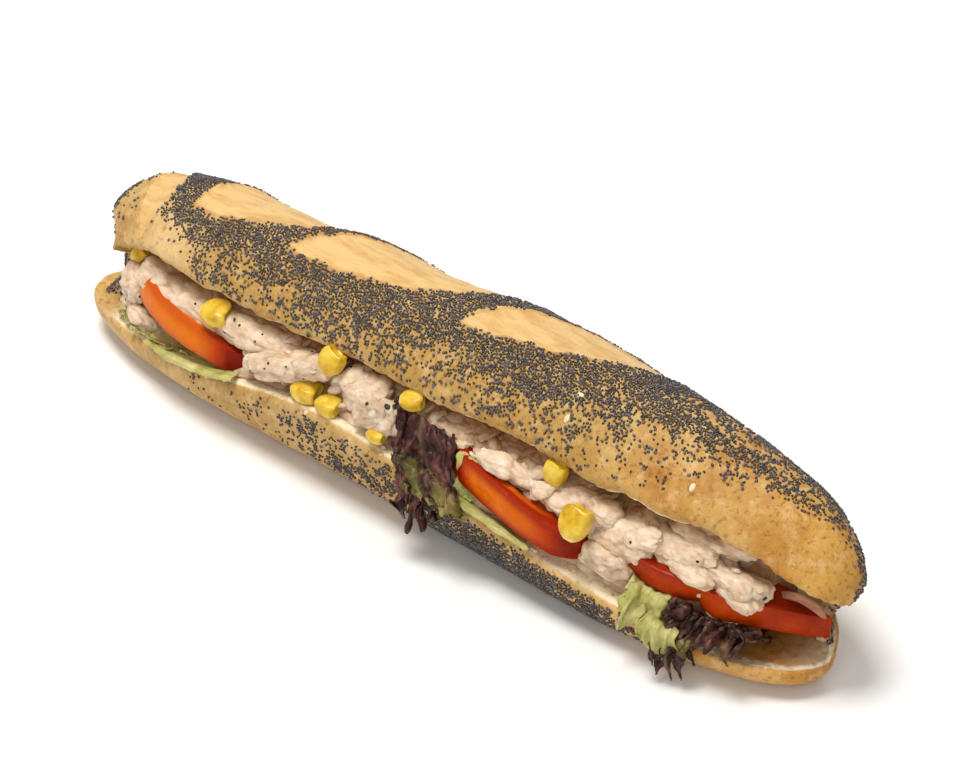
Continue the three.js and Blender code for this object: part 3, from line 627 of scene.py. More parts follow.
def makeLid(material):
    x = ringPlaces(lidHalfWidth, bread["spacing"])
    angles = np.linspace(0, 180, bread["lidRows"])
    xx, aa = np.meshgrid(x, angles, indexing="ij")
    flat = xyz(xx, aa * 0.5, 0)  # a plain map of the crust, for ragged edges
    ragged = scoreForm["ragged"] * (layeredNoise(flat, 6.0, 3) + 0.5 * layeredNoise(flat, 1.7, 4))
    relief = 0.35 * np.sin(xx / 9) * np.sin(np.radians(aa * 2) + xx / 23)
    scored, raw = np.zeros_like(xx), np.full_like(xx, 9.0)
    for number, score in enumerate(scores):
        along, off = scorePlace(score, xx, aa)
        reach = np.abs(off) + along**2 + ragged
        if number == 1:  # its left end stops short, under a band of seeds
            reach = reach + 2.5 * smooth(-98, -103, xx)
        lip = scoreForm["lip"] * bell(reach - 1.12, 0.16) * (1 + 0.5 * layeredNoise(flat, 4.0, 9))
        inside = np.sqrt(np.maximum(0, 1 - reach))
        grain = xyz(along * 6, off * score["halfWidth"] / 1.7, 0)
        fibres = layeredNoise(grain, 1.0, 31 + number)
        relief += lip - scoreForm["dip"] * inside + scoreForm["fibres"] * fibres * smooth(0, 0.5, inside)
        scored = np.maximum(scored, smooth(1.12, 0.98, reach))
        raw = np.minimum(raw, reach)
    edge = np.minimum(1, np.minimum(aa, 180 - aa) / 12)
    crust = lidCrust(xx, aa, relief * edge)
    crust += gridNormals(crust, False) * (
        bread["swells"] * layeredNoise(crust, 16.0, 5)
        + bread["blisters"] * layeredNoise(crust, 4.2, 6) * (1 - 0.5 * scored)
        + bread["grain"] * layeredNoise(crust, 1.6, 7)
    )[..., None] * -1
    hem = smooth(26, 0, np.minimum(aa, 180 - aa))  # the cut edge isn't straight
    crust[..., 2] += wavyHem(crust, xx, hem, (1.9, 0.7), 15)
    crust[..., 1] += 1.0 * hem * layeredNoise(crust, 8.0, 17)
    crust[..., 2] += 0.5 * smooth(7, 0, aa) * layeredNoise(crust, 1.7, 18)
    seeding = lidSeeding(xx, aa, raw, crust)
    share = np.linspace(0, 1, bread["lidCutRows"] + 2)[1:-1]
    cut = crust[:, -1:, :] * (1 - share[None, :, None]) + crust[:, :1, :] * share[None, :, None]
    inward = fromTheRims(cut, crust)
    deep = smooth(0.8, 3.0, inward)
    cut[..., 2] += deep * (0.5 * layeredNoise(cut, 6.0, 12) + poresOf(cut, 2.6, 14) + 0.2)
    ring = np.concatenate([crust, cut], axis=1)
    bare = 2.4 - 2.0 * bell(xx[:, :1] - 80, 9)  # the crumb shows at the very edge where the lid is torn
    crumb = np.concatenate([np.zeros_like(xx), smooth(bare, bare + 1.8, inward)], axis=1)
    crumb *= 1 - smooth(-110, -119, xx[:, :1])
    # painted light: the lower left of the lid's front, which faces down, is made paler in the flour colour
    flourAndPaintedLight = 0.6 * bell(xx + 100, 13) * smooth(44, 12, aa)
    blank = np.zeros_like(inward)
    ring = swingUp(roundedTips(smoothRings(ring, (0, len(angles) - 1))))
    rings, around = ring.shape[:2]
    tips = swingUp(roundedTips(tipPoints(lambda x: hinge["z"] + 0.5)))
    # duller khaki crust low on the lid's front: partly the crust's own tone between the seeds, partly painted
    # shade on this down-facing side
    khaki = smooth(58, 22, aa) * smooth(-112, -92, xx) * smooth(78, 48, xx)
    left = xx < -6  # the seeds are two meshes, as one would be too large
    points = np.concatenate([ring.reshape(-1, 3), tips])
    piece = meshPiece("bread_lid", points, loftFaces(rings, around), {
        "crumb": withPoles(crumb),
        "scored": withPoles(scored, blank),
        "browningAndShade": withPoles(bell(raw - 1.08, 0.1), blank),
        "seedingLeft": withPoles(seeding * left, blank),
        "seedingRight": withPoles(seeding * ~left, blank),
        "khaki": withPoles(khaki, blank),
        "flourAndPaintedLight": withPoles(flourAndPaintedLight, blank),
        "bake": withPoles(bakeOf(ring)),
    })
    closeSeams(piece)
    return onBody(piece, ["bread"], material)


def heelSeeding(x, angle, points):
    side = np.minimum(angle, 180 - angle)
    patches = layeredNoise(points, 4.5, 41, 2)
    thick = smooth(-12, 24, x) * smooth(90, 80, x + 0.2 * side)
    some = smooth(-48, -20, x) * smooth(94, 84, x)
    thin = smooth(-84, -66, x) * smooth(94, 86, x)
    amount = np.maximum(thick, 0.5 * some * (1 + 1.4 * patches) * smooth(42, 28, side))
    amount = np.maximum(amount, 0.1 * thin * (1 + 2 * patches) * smooth(30, 20, side))
    amount = clumped(np.clip(amount * (1 + 0.5 * patches), 0, 1), points)
    return amount * smooth(1.5, 5, side) * smooth(76, 52, side) * smooth(0.7, 1.3, points[..., 2])


def makeHeel(material):
    x = ringPlaces(heelHalfWidth, bread["spacing"])
    angles = np.linspace(0, 180, bread["heelRows"])
    xx, aa = np.meshgrid(x, angles, indexing="ij")
    crust = heelCrust(xx, aa)
    normal = gridNormals(crust, False)
    off = (
        0.3 * layeredNoise(crust, 15.0, 51)
        + bread["blisters"] * 0.8 * layeredNoise(crust, 4.0, 52)
        + bread["grain"] * layeredNoise(crust, 1.6, 53)
    ) * smooth(0.0, 3.0, crust[..., 2]) * smooth(0, 6, np.minimum(aa, 180 - aa))
    crust += normal * off[..., None]
    hem = smooth(26, 0, np.minimum(aa, 180 - aa))
    crust[..., 2] += wavyHem(crust, xx, hem, (1.1, 0.6), 55)
    crust[..., 2] = np.maximum(crust[..., 2], 0)
    width = heelHalfWidth(xx[:, :1])
    share = np.linspace(0, 1, bread["heelCutRows"] + 2)[1:-1][None, :]
    y = mix(width, -width, share)
    cutX = np.broadcast_to(x[:, None], y.shape)
    cut = xyz(cutX, y, cutHeight(cutX, y))
    inward = fromTheRims(cut, crust)
    deep = smooth(0.8, 3.2, inward)
    cut[..., 2] -= 1.8 * bell(cutX - 118, 15) * smooth(1.2, 5, inward)  # the right end is hollowed out
    cut[..., 2] -= deep * (0.45 * layeredNoise(cut, 6.0, 61) + poresOf(cut, 2.4, 64) + 0.15)
    ring = smoothRings(np.concatenate([crust, cut], axis=1), (0, len(angles) - 1))
    ring[..., 2] = np.where(ring[..., 2] < 0.05, 0, ring[..., 2])
    start = 0.5 + 0.7 * smooth(92, 112, xx[:, :1])  # the rim is baked further in at the right end
    inside = smooth(start, start + bread["crustDepth"] - 0.8, inward)
    crumb = np.concatenate([np.zeros_like(xx), inside], axis=1)
    crumb *= 1 - smooth(-114, -122, xx[:, :1])
    deepIn = np.concatenate([np.zeros_like(xx), inward], axis=1)
    toasted = bell(ring[..., 0] - 119, 20) * smooth(4.2, 6.0, deepIn + 1.6 * layeredNoise(ring, 5.0, 71))
    toasted += 0.6 * bell(ring[..., 0] + 129, 8) * smooth(2, 4, deepIn)
    flourAndPaintedLight = 0.25 * smooth(-0.5, 0.6, layeredNoise(ring, 12.0, 73))
    khaki = 0.9 * smooth(-112, -96, ring[..., 0]) * smooth(46, 20, ring[..., 0])
    rings, around = ring.shape[:2]
    tips = tipPoints(lambda x: rimHeight(x) * 0.8)
    piece = meshPiece("bread_heel", np.concatenate([ring.reshape(-1, 3), tips]), loftFaces(rings, around), {
        "crumb": withPoles(crumb),
        "scored": withPoles(np.zeros_like(crumb)),
        "browningAndShade": withPoles(toasted),
        "seeding": withPoles(heelSeeding(xx, aa, crust), np.zeros_like(inward)),
        "flourAndPaintedLight": withPoles(flourAndPaintedLight),
        "khaki": withPoles(khaki),
        "bake": withPoles(bakeOf(ring)),
    })
    closeSeams(piece)
    return onBody(piece, ["bread"], material)


def makeTipWall(side, material):
    # the uncut bread round one tip, behind the mouth
    steps, rows = 70, 44
    front = tipWall["frontLeft" if side < 0 else "frontRight"]
    turns = np.radians(np.linspace(tipWall["back"], front, steps))
    power = 0 if side < 0 else 1
    tuck = tipWall["tuckLeft"] if side < 0 else tipWall["tuckRight"]

    def outline(powers):
        return side * loaf["halfLength"] * np.cos(turns) ** (2 / powers[power])

    lowX, highX = outline(heel["widthTaper"]), outline(lid["widthTaper"])
    lowY = heelHalfWidth(lowX) * np.sign(turns) * 0.97
    highY = lidHalfWidth(highX) * np.sign(turns) * 0.97
    low = xyz(lowX, lowY, cutHeight(lowX, lowY) - 2.5)
    high = swingUp(roundedTips(xyz(highX, highY, hinge["z"] + 2.5)))
    inward = xyz(-side * np.cos(turns), -np.sin(turns), 0)
    up = np.linspace(0, 1, rows)
    points = low[:, None] + (high - low)[:, None] * up[None, :, None]
    fold = 0.7 + tuck * np.sin(math.pi * up)[None, :] + 0.5 * layeredNoise(points, 3.5, 81)
    outer = points + inward[:, None] * fold[..., None]
    inner = points + inward[:, None] * (fold + tipWall["thickness"])[..., None]
    seeding = (0.8 if side < 0 else 0.35) * smooth(0, 0.15, up)[None, :] * smooth(1, 0.85, up)[None, :]
    seeding = seeding * np.ones((steps, 1))
    crumb = np.ones((steps, rows))
    name = "bread_wall_left" if side < 0 else "bread_wall_right"
    points = np.concatenate([outer.reshape(-1, 3), inner.reshape(-1, 3)])
    piece = meshPiece(name, points, slabFaces(steps, rows), {
        # the outer face takes dark toast and the khaki tone all over: partly baked crust, partly painted
        # shade under the overhanging lid
        "crumb": np.concatenate([0.9 * crumb.ravel(), crumb.ravel()]),
        "scored": np.zeros(2 * steps * rows),
        "browningAndShade": np.concatenate([0.9 * crumb.ravel(), 0 * crumb.ravel()]),
        "seeding": np.concatenate([seeding.ravel(), 0 * crumb.ravel()]),
        "khaki": np.full(2 * steps * rows, 1.0),
        "bake": np.full(2 * steps * rows, 0.3),
    })
    closeSeams(piece)
    return onBody(piece, ["bread"], material)


crustLook = {
    "pale": rgb(208, 174, 112), "golden": rgb(190, 150, 82), "brown": rgb(168, 120, 60),
    "bakedPale": rgb(206, 156, 76), "bakedBrown": rgb(180, 120, 46),
    "scorePale": rgb(222, 184, 122), "scoreGold": rgb(206, 160, 94), "scoreBrown": rgb(172, 108, 48),
    "khaki": rgb(180, 140, 72), "flourAndPaintedLight": rgb(232, 198, 144),
    "crumb": rgb(242, 226, 192), "crumbShade": rgb(208, 178, 130), "toast": rgb(124, 76, 32),
}


def breadMaterial():
    crust = newMaterial("bakedCrust", Specular_IOR_Level=0.22, Subsurface_Weight=0.05,
                        Subsurface_Scale=0.0015)
    patches = noiseOf(crust, 55, 6, 0.6)
    base = ramp(crust, patches, [
        (0.34, crustLook["brown"]), (0.47, crustLook["golden"]), (0.64, crustLook["pale"]),
    ])
    baked = ramp(crust, patches, [(0.36, crustLook["bakedBrown"]), (0.6, crustLook["bakedPale"])])
    base = blendColours(crust, valueOf(crust, "bake"), base, baked)
    # the khaki tone: partly the crust's own colour, partly painted shade low on the lid's front and on the
    # tip walls
    dull = reckon(crust, "MULTIPLY", valueOf(crust, "khaki"), 0.75)
    base = blendColours(crust, dull, base, crustLook["khaki"])
    mottle = ramp(crust, noiseOf(crust, 230, 4, 0.65), [(0.5, 0.0), (0.66, 0.4)])
    base = blendColours(crust, mottle, base, crustLook["flourAndPaintedLight"])
    # flour patches on the heel, and painted light low on the lid's left front
    base = blendColours(crust, valueOf(crust, "flourAndPaintedLight"), base, crustLook["flourAndPaintedLight"])
    freckles = ramp(crust, noiseOf(crust, 620, 4, 0.7), shades((0.34, 176, 146, 112), (0.47, 255, 255, 255)))
    base = blendColours(crust, 0.6, base, freckles, "MULTIPLY")
    streaks = noiseOf(crust, 1, 5, 0.65, stretched(crust, (90, 300, 300), (0, 0, 0.5)))
    split = ramp(crust, streaks, [(0.36, crustLook["scoreGold"]), (0.56, crustLook["scorePale"])])
    edge = ramp(crust, valueOf(crust, "browningAndShade"), [(0.25, 0.0), (0.95, 0.6)])
    split = blendColours(crust, edge, split, crustLook["scoreBrown"])
    base = blendColours(crust, valueOf(crust, "scored"), base, split)
    holes = cellsOf(crust, 520.0)
    inside = ramp(crust, holes, [(0.05, crustLook["crumbShade"]), (0.45, crustLook["crumb"])])
    # dark toast: the heel's toasted right end, and on the tip walls partly painted shade
    toast = blendColours(crust, patches, crustLook["toast"], crustLook["bakedBrown"])
    inside = blendColours(crust, valueOf(crust, "browningAndShade"), inside, toast)
    colour = blendColours(crust, valueOf(crust, "crumb"), base, inside)
    grains = bumps(crust, noiseOf(crust, 2400, 3, 0.6), 0.14, 0.6)
    fine = bumps(crust, noiseOf(crust, 900, 5, 0.6), 0.4, 0.6, grains)
    wrinkles = bumps(crust, noiseOf(crust, 260, 4, 0.6), 1.0, 0.6, fine)
    rough = ramp(crust, valueOf(crust, "crumb"), [(0.0, 0.5), (1.0, 0.9)])
    feed(crust, Base_Color=colour, Normal=wrinkles, Roughness=rough)
    return crust


crustMaterial = breadMaterial()
breadPieces = [makeLid(crustMaterial), makeHeel(crustMaterial)]
breadPieces += [makeTipWall(side, crustMaterial) for side in (-1, 1)]
print("bread ready:", [len(piece.data.polygons) for piece in breadPieces])


# ---- scattering by geometry nodes

def scatterTree():
    tree = bpy.data.node_groups.new("scatterGrains", "GeometryNodeTree")
    sockets = [("Surface", "Geometry"), ("Grain", "Object"), ("Finish", "Material"), ("Amount", "String"),
               ("Least gap", "Float"), ("Most per square metre", "Float"), ("Smallest", "Float"),
               ("Largest", "Float"), ("Raised", "Float"), ("Tilt", "Float"), ("Random seed", "Int")]
    for name, kind in sockets:
        tree.interface.new_socket(name, in_out="INPUT", socket_type="NodeSocket" + kind)
    tree.interface.new_socket("Grains", in_out="OUTPUT", socket_type="NodeSocketGeometry")

    def step(kind, inputs=None, **settings):
        return nodeIn(tree, kind, inputs, **settings).outputs

    given = step("NodeGroupInput")
    named = step("GeometryNodeInputNamedAttribute", {"Name": given["Amount"]}, data_type="FLOAT")
    amount = named["Attribute"]
    spread = step("GeometryNodeDistributePointsOnFaces", {
        "Mesh": given["Surface"], "Distance Min": given["Least gap"],
        "Density Max": given["Most per square metre"], "Density Factor": amount, "Seed": given["Random seed"],
    }, distribute_method="POISSON")
    grain = step("GeometryNodeObjectInfo", {"Object": given["Grain"]})["Geometry"]
    # inputs 2 and 3 are the least and the most of a random number, 0 and 1 those of a random vector
    size = step("FunctionNodeRandomValue", {2: given["Smallest"], 3: given["Largest"]}, data_type="FLOAT")
    put = step("GeometryNodeInstanceOnPoints", {
        "Points": spread["Points"], "Instance": grain, "Rotation": spread["Rotation"], "Scale": size[1]})
    leans = []
    for sign in (-1.0, 1.0):
        tilt = step("ShaderNodeMath", {0: given["Tilt"], 1: sign}, operation="MULTIPLY")[0]
        leans.append(step("ShaderNodeCombineXYZ", {"X": tilt, "Y": tilt, "Z": sign * math.pi})[0])
    lean = step("FunctionNodeRandomValue", {0: leans[0], 1: leans[1]}, data_type="FLOAT_VECTOR")
    lift = step("ShaderNodeCombineXYZ", {"Z": given["Raised"]})
    raised = step("GeometryNodeTranslateInstances", {"Instances": put["Instances"], "Translation": lift[0]})
    turn = step("GeometryNodeRotateInstances", {"Instances": raised["Instances"], "Rotation": lean[0]})
    shade = step("FunctionNodeRandomValue", data_type="FLOAT")
    marked = step("GeometryNodeStoreNamedAttribute", {
        "Geometry": turn["Instances"], "Name": "tone", "Value": shade[1],
    }, data_type="FLOAT", domain="INSTANCE")
    real = step("GeometryNodeRealizeInstances", {"Geometry": marked["Geometry"]})
    finished = step("GeometryNodeSetMaterial", {"Geometry": real["Geometry"], "Material": given["Finish"]})
    step("NodeGroupOutput", {"Grains": finished["Geometry"]})
    return tree


def scatter(name, surfaces, grain, material, settings):
    # grains over the surfaces where their attribute is high, as one plain mesh
    made = []
    for number, surface in enumerate(surfaces):
        holder = linked("holder", surface.data.copy())
        modifier = holder.modifiers.new("scatter", "NODES")
        modifier.node_group = grainTree
        given = {
            "Grain": grain, "Finish": material, "Amount": settings["amount"],
            "Least gap": settings["gap"] * metresPerMm, "Raised": settings["raised"] * metresPerMm,
            "Most per square metre": settings["perSquareCm"] * 10000.0, "Smallest": settings["sizes"][0],
            "Largest": settings["sizes"][1], "Tilt": math.radians(settings["tilt"]),
            "Random seed": settings["seed"] + number,
        }
        for item in grainTree.interface.items_tree:
            if item.name in given:
                modifier[item.identifier] = given[item.name]
        ready = bpy.context.evaluated_depsgraph_get()
        made.append(bpy.data.meshes.new_from_object(holder.evaluated_get(ready)))
        bpy.data.objects.remove(holder)
    work = bmesh.new()
    for mesh in made:
        work.from_mesh(mesh)
        bpy.data.meshes.remove(mesh)
    whole = bpy.data.meshes.new(name)
    work.to_mesh(whole)
    work.free()
    whole.shade_smooth()
    print(name, len(whole.polygons), "faces")
    return onBody(linked(name, whole), [], material)


def grainShape(name, size, rough, seed):
    # one small grain of that size in mm, uneven by a share of its size
    work = bmesh.new()
    bmesh.ops.create_icosphere(work, subdivisions=1, radius=0.5)
    draw = random.Random(seed)
    for corner in work.verts:
        corner.co *= 1 + rough * (draw.random() - 0.5)
        corner.co = Vector([c * s * metresPerMm for c, s in zip(corner.co, size)])
    mesh = bpy.data.meshes.new(name)
    work.to_mesh(mesh)
    work.free()
    shape = linked(name, mesh)
    shape.hide_render = True
    return shape


grainTree = scatterTree()
poppy = {"size": (1.1, 0.84, 0.78), "rough": 0.12, "gap": 0.7, "perSquareCm": 1400, "tilt": 16}
poppyCoats = {
    "left": {"amount": "seedingLeft", "sizes": (0.72, 1.16), "raised": 0.12, "seed": 3},
    "right": {"amount": "seedingRight", "sizes": (0.72, 1.16), "raised": 0.12, "seed": 5},
    "heel": {"amount": "seeding", "sizes": (0.74, 1.12), "raised": 0.14, "seed": 8},
}


def poppyMaterial():
    husk = newMaterial("poppySeed", Roughness=0.42, Specular_IOR_Level=0.6)
    tone = valueOf(husk, "tone")
    colour = ramp(husk, tone, shades(
        (0.0, 34, 28, 28), (0.4, 60, 54, 56), (0.7, 96, 92, 96),
        (0.82, 104, 74, 54), (0.92, 128, 122, 122), (1.0, 50, 42, 42),
    ))
    pits = cellsOf(husk, 5200.0)
    pitted = ramp(husk, pits, shades((0.1, 255, 255, 255), (0.6, 150, 146, 150)))
    colour = blendColours(husk, 0.5, colour, pitted, "MULTIPLY")
    feed(husk, Base_Color=colour, Normal=bumps(husk, pits, 0.08, 0.6))
    return husk


seedMaterial = poppyMaterial()
seedShape = grainShape("poppyShape", poppy["size"], poppy["rough"], 1)
for part, coat in poppyCoats.items():
    crusts = breadPieces[1:] if part == "heel" else breadPieces[:1]
    scatter("poppy_seeds_" + part, crusts, seedShape, seedMaterial, {**poppy, **coat})
bpy.data.objects.remove(seedShape)
print("seeds ready")


# ---- tuna

tuna = {"left": -117, "right": 117, "setBack": 5.6, "crumbs": 170, "plates": 0.9, "layers": 0.5,
        "fibres": 0.3, "grain": 0.14}
# place along the loaf, share of the mouth's height, out, then length, height, depth and rise in degrees
flakes = [
    (-109, 0.52, 0.2, 11, 13, 10, 55),
    (-99, 0.76, 0.4, 19, 9, 10, -6),
    (-103.5, 0.14, -1.8, 14, 7.5, 8, -15),
    (-84, 0.59, -0.4, 33, 12.5, 12, -7),
    (-57, 0.6, -1.6, 34, 12, 12, 2),
    (-41, 0.42, -0.3, 32, 8.5, 9, 25),
    (-14, 0.6, -1.5, 20, 13, 11, 30),
    (-5, 0.42, 0.2, 15, 11, 7, 12),
    (14, 0.68, -4, 22, 10, 10, 0),
    (38, 0.8, -4.5, 30, 10, 11, -4),
    (42, 0.64, -0.6, 15, 5.5, 8, -12),
    (59, 0.62, -2, 24, 12, 11, -3),
    (78, 0.6, -0.8, 21, 15, 12, 12),
    (75, 0.32, -0.5, 17, 11, 11, 0),
    (93, 0.74, -1.5, 26, 12, 12, 6),
    (107, 0.66, -0.4, 27, 9, 12, -8),
    (98, 0.9, -2.6, 30, 8, 10, 0),
]
flatFlakes = [  # flat pale flakes lying on top, given in the same way
    (-111, 0.4, -0.8, 7, 9, 5, 60),
    (-105, 0.2, 0, 8, 5.5, 6, -20),
    (-31, 0.56, 0.4, 15, 6, 5, 22),
    (-46, 0.38, 1.0, 22, 7, 5, 20),
    (-18, 0.72, -0.5, 9, 8, 5, 40),
    (-8, 0.42, 1.2, 12, 10, 4, 15),
    (22, 0.86, -3.5, 9, 4.5, 5, -20),
    (36, 0.66, 0.2, 14, 6, 5, -6),
    (51, 0.62, -0.5, 10, 5, 6, 20),
    (70, 0.72, 0, 11, 6, 5, -15),
    (84, 0.7, 0.3, 12, 7, 5, 10),
    (100, 0.62, 0.8, 14, 6, 5, -8),
    (113, 0.55, 0.6, 12, 4.5, 5, -14),
]


def ballShape(level):
    work = bmesh.new()
    bmesh.ops.create_icosphere(work, subdivisions=level, radius=1)
    work.verts.ensure_lookup_table()
    points = np.array([corner.co[:] for corner in work.verts])
    faces = np.array([[corner.index for corner in face.verts] for face in work.faces])
    work.free()
    return points, faces


balls = {level: ballShape(level) for level in (2, 3, 4, 5, 6)}


def turned(points, axis, degrees):
    c, s = math.cos(math.radians(degrees)), math.sin(math.radians(degrees))
    first, second = [(1, 2), (2, 0), (0, 1)]["XYZ".index(axis)]
    out = points.copy()
    out[:, first] = points[:, first] * c - points[:, second] * s
    out[:, second] = points[:, first] * s + points[:, second] * c
    return out


def flakeShape(flake, level, seed):
    # a lump of flaked fish, with fibres along it and creases between its layers
    x, share, out, length, height, depth, rise = flake
    ball, faces = balls[level]
    long, tall = signedPower(ball[:, 0], 0.85), signedPower(ball[:, 2], 0.85)
    form = xyz(long * length / 2, ball[:, 1] * depth / 2, tall * height / 2)
    broad = layeredNoise(ball + seed * 3.7, 0.8, seed + 21, 2)[:, None]  # no two lumps alike
    form = form * (1 + 0.26 * broad)
    small = min(1, height / 9)
    spot = form + np.array([x * 3.1 + seed, share * 40, seed * 1.7])
    spot = wandering(spot, 1.1 * small, seed + 40)
    plates, cracks = flakyNoise(spot / np.array([9.0, 5.0, 5.0]) / small**0.5, seed, 9)
    layers, _ = flakyNoise(spot / np.array([5.0, 1.7, 1.7]), seed + 3, 7)
    fibres = layeredNoise(spot * np.array([0.25, 1, 1]), 0.9, seed + 5, 2)
    torn = layeredNoise(spot, 2.6 * small, seed + 9) * smooth(0.5, 1.0, np.abs(ball[:, 0]))
    lift = tuna["plates"] * small * plates + tuna["layers"] * small * layers
    grain = tuna["grain"] * layeredNoise(spot, 0.7, seed + 11, 2)
    lift += 1.5 * small * torn + tuna["fibres"] * fibres * small + grain
    lift -= 0.3 * small * cracks
    form = form + ball * lift[:, None]
    # painted shade: darker in the low places and in the cracks between plates and fibres
    paintedShade = smooth(-0.1, -0.9, plates + 0.4 * layers) * 0.35
    paintedShade = paintedShade + smooth(0, -0.8, fibres) * 0.15 + 0.22 * cracks
    form = turned(turned(form, "X", -lid["opening"] / 2), "Y", -rise)
    return form + mouthPoint(x, share, out - depth / 2), faces, np.clip(paintedShade, 0, 1)


def joined(parts):
    # several (points, faces, value) shapes as one
    points, faces, values, count = [], [], [], 0
    for shape, shapeFaces, value in parts:
        points.append(shape)
        faces.append(np.asarray(shapeFaces) + count)
        values.append(value)
        count += len(shape)
    return np.concatenate(points), [f for block in faces for f in block.tolist()], np.concatenate(values)


def inTheMouth(points, slack=-0.25):
    # keeps the filling between the two cut faces
    x, y = points[:, 0], points[:, 1]
    low = cutHeight(offTheTips(x), y) + slack
    behindTheRim = y > -heelHalfWidth(offTheTips(x)) + 1
    points[:, 2] = np.where(behindTheRim, np.maximum(points[:, 2], low), points[:, 2])
    return points


def underTheLid(points):
    # draws the filling in where it comes up to the lid's edge
    share, _ = placeInMouth(points)
    inward = 4.4 * smooth(0.56, 1.0, share) * (1 + 0.7 * layeredNoise(points, 12.0, 151))
    inward = inward * (1 - 0.75 * smooth(82, 98, points[:, 0]))
    points[:, 1] += inward
    points[:, 2] -= 0.35 * inward
    return points


def paintedMouthShade(points, paintedShade):
    # painted shade: the flesh is made darker and browner deep in the mouth and close under the lid, where
    # shade falls
    share, out = placeInMouth(points)
    deep = smooth(-3.2, -8, out)
    under = smooth(0.7, 0.98, share) * (1 - 0.6 * smooth(80, 96, points[:, 0]))
    return np.clip(paintedShade + 0.55 * deep + 0.5 * under, 0, 1)


def makeTunaCore():
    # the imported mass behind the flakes
    x = np.linspace(tuna["left"], tuna["right"], 420)
    share = np.linspace(0.03, 0.97, 56)
    xx, ss = np.meshgrid(x, share, indexing="ij")
    middle, half = (tuna["left"] + tuna["right"]) / 2, (tuna["right"] - tuna["left"]) / 2
    ends = np.sqrt(np.clip(1 - np.abs((xx - middle) / half) ** 6, 0, 1))
    front = mouthPoint(xx, ss, np.full_like(xx, -tuna["setBack"]))
    spot = wandering(front, 1.1, 140)
    plates, cracks = flakyNoise(spot / np.array([8.0, 4.4, 4.4]), 101, 9)
    layers, _ = flakyNoise(spot / np.array([4.4, 1.6, 1.6]), 104, 7)
    swollen = 1.4 * plates + 0.6 * layers - 0.4 * cracks
    swollen = swollen + 1.4 * layeredNoise(front, 9.0, 107) + 0.25 * layeredNoise(front, 1.0, 111, 2)
    front = mouthPoint(xx, ss, swollen * ends - tuna["setBack"] - (1 - ends) * 5)
    back = hinge["y"] - 9
    low = xyz(x, back, cutHeight(offTheTips(x), back) + 0.5)
    high = xyz(x, back, lidUnderside(back) - 0.8)
    middle = (low + high) / 2
    ring = np.concatenate([front, high[:, None], middle[:, None], low[:, None]], axis=1)
    tips = ring[[0, -1]].mean(axis=1)
    points = np.concatenate([ring.reshape(-1, 3), tips])
    # painted shade in the core's low places and cracks
    paintedShade = 0.7 * smooth(-0.2, -0.9, plates + 0.4 * layers) + 0.25 * cracks
    paintedShade = np.concatenate([paintedShade, np.zeros((len(x), 3))], axis=1).ravel()
    return points, loftFaces(*ring.shape[:2]), np.concatenate([paintedShade, [0, 0]])


def tunaMaterial():
    flesh = newMaterial("flakedTuna", Roughness=0.52, Specular_IOR_Level=0.3, Subsurface_Weight=0.2,
                        Subsurface_Scale=0.0012, Subsurface_Radius=(1.0, 0.6, 0.4), Coat_Weight=0.06,
                        Coat_Roughness=0.25)
    patches = noiseOf(flesh, 190, 5, 0.6)
    colour = ramp(flesh, patches, shades((0.32, 212, 182, 150), (0.5, 230, 208, 180), (0.68, 240, 224, 202)))
    # painted shade: brown in the hollows, deep in the mouth and under the lid
    colour = blendColours(flesh, valueOf(flesh, "paintedShade"), colour, rgb(140, 98, 58))
    fibres = noiseOf(flesh, 1, 4, 0.6, stretched(flesh, (450, 1500, 1500), (0.2, 0.3, 0.4)))
    pinker = ramp(flesh, fibres, shades((0.35, 230, 206, 184), (0.6, 255, 255, 255)))
    colour = blendColours(flesh, 0.5, colour, pinker, "MULTIPLY")
    fine = bumps(flesh, noiseOf(flesh, 2200, 3, 0.6), 0.2, 0.5)
    feed(flesh, Base_Color=colour, Normal=bumps(flesh, fibres, 0.3, 0.6, fine))
    return flesh


def makeTuna():
    made = tunaMaterial()
    draw = random.Random(12)
    left, right = [], []
    for number, flake in enumerate(flakes):
        level = 6 if flake[3] > 20 else 5
        (left if flake[0] < 40 else right).append(flakeShape(flake, level, 200 + 13 * number))
    for number, flake in enumerate(flatFlakes):
        (left if flake[0] < 40 else right).append(flakeShape(flake, 5, 800 + 13 * number))
    crumbs = []
    for number in range(tuna["crumbs"]):
        x = draw.uniform(-117, 114)
        length = draw.uniform(2.5, 8)
        share = draw.uniform(0.2, 0.85)
        out = draw.uniform(-5.5, -2.2)
        thick = length * draw.uniform(0.3, 0.55)
        bit = (x, share, out, length, thick, length * draw.uniform(0.4, 0.8), draw.uniform(-50, 60))
        crumbs.append(flakeShape(bit, 4 if length > 5 else 3, 500 + 7 * number))
    pieces = []
    shapes = {"core": [makeTunaCore()], "flakes_left": left, "flakes_right": right, "crumbs": crumbs}
    for name, parts in shapes.items():
        points, faces, paintedShade = joined(parts) if len(parts) > 1 else parts[0]
        points = inTheMouth(underTheLid(points))
        piece = meshPiece("tuna_" + name, points, faces, {"paintedShade": paintedMouthShade(points, paintedShade)})
        closeSeams(piece, 0.000002)
        pieces.append(onBody(piece, ["tuna"], made))
    return pieces


tunaPieces = makeTuna()
print("tuna ready:", [len(piece.data.polygons) for piece in tunaPieces])


# ---- tomato

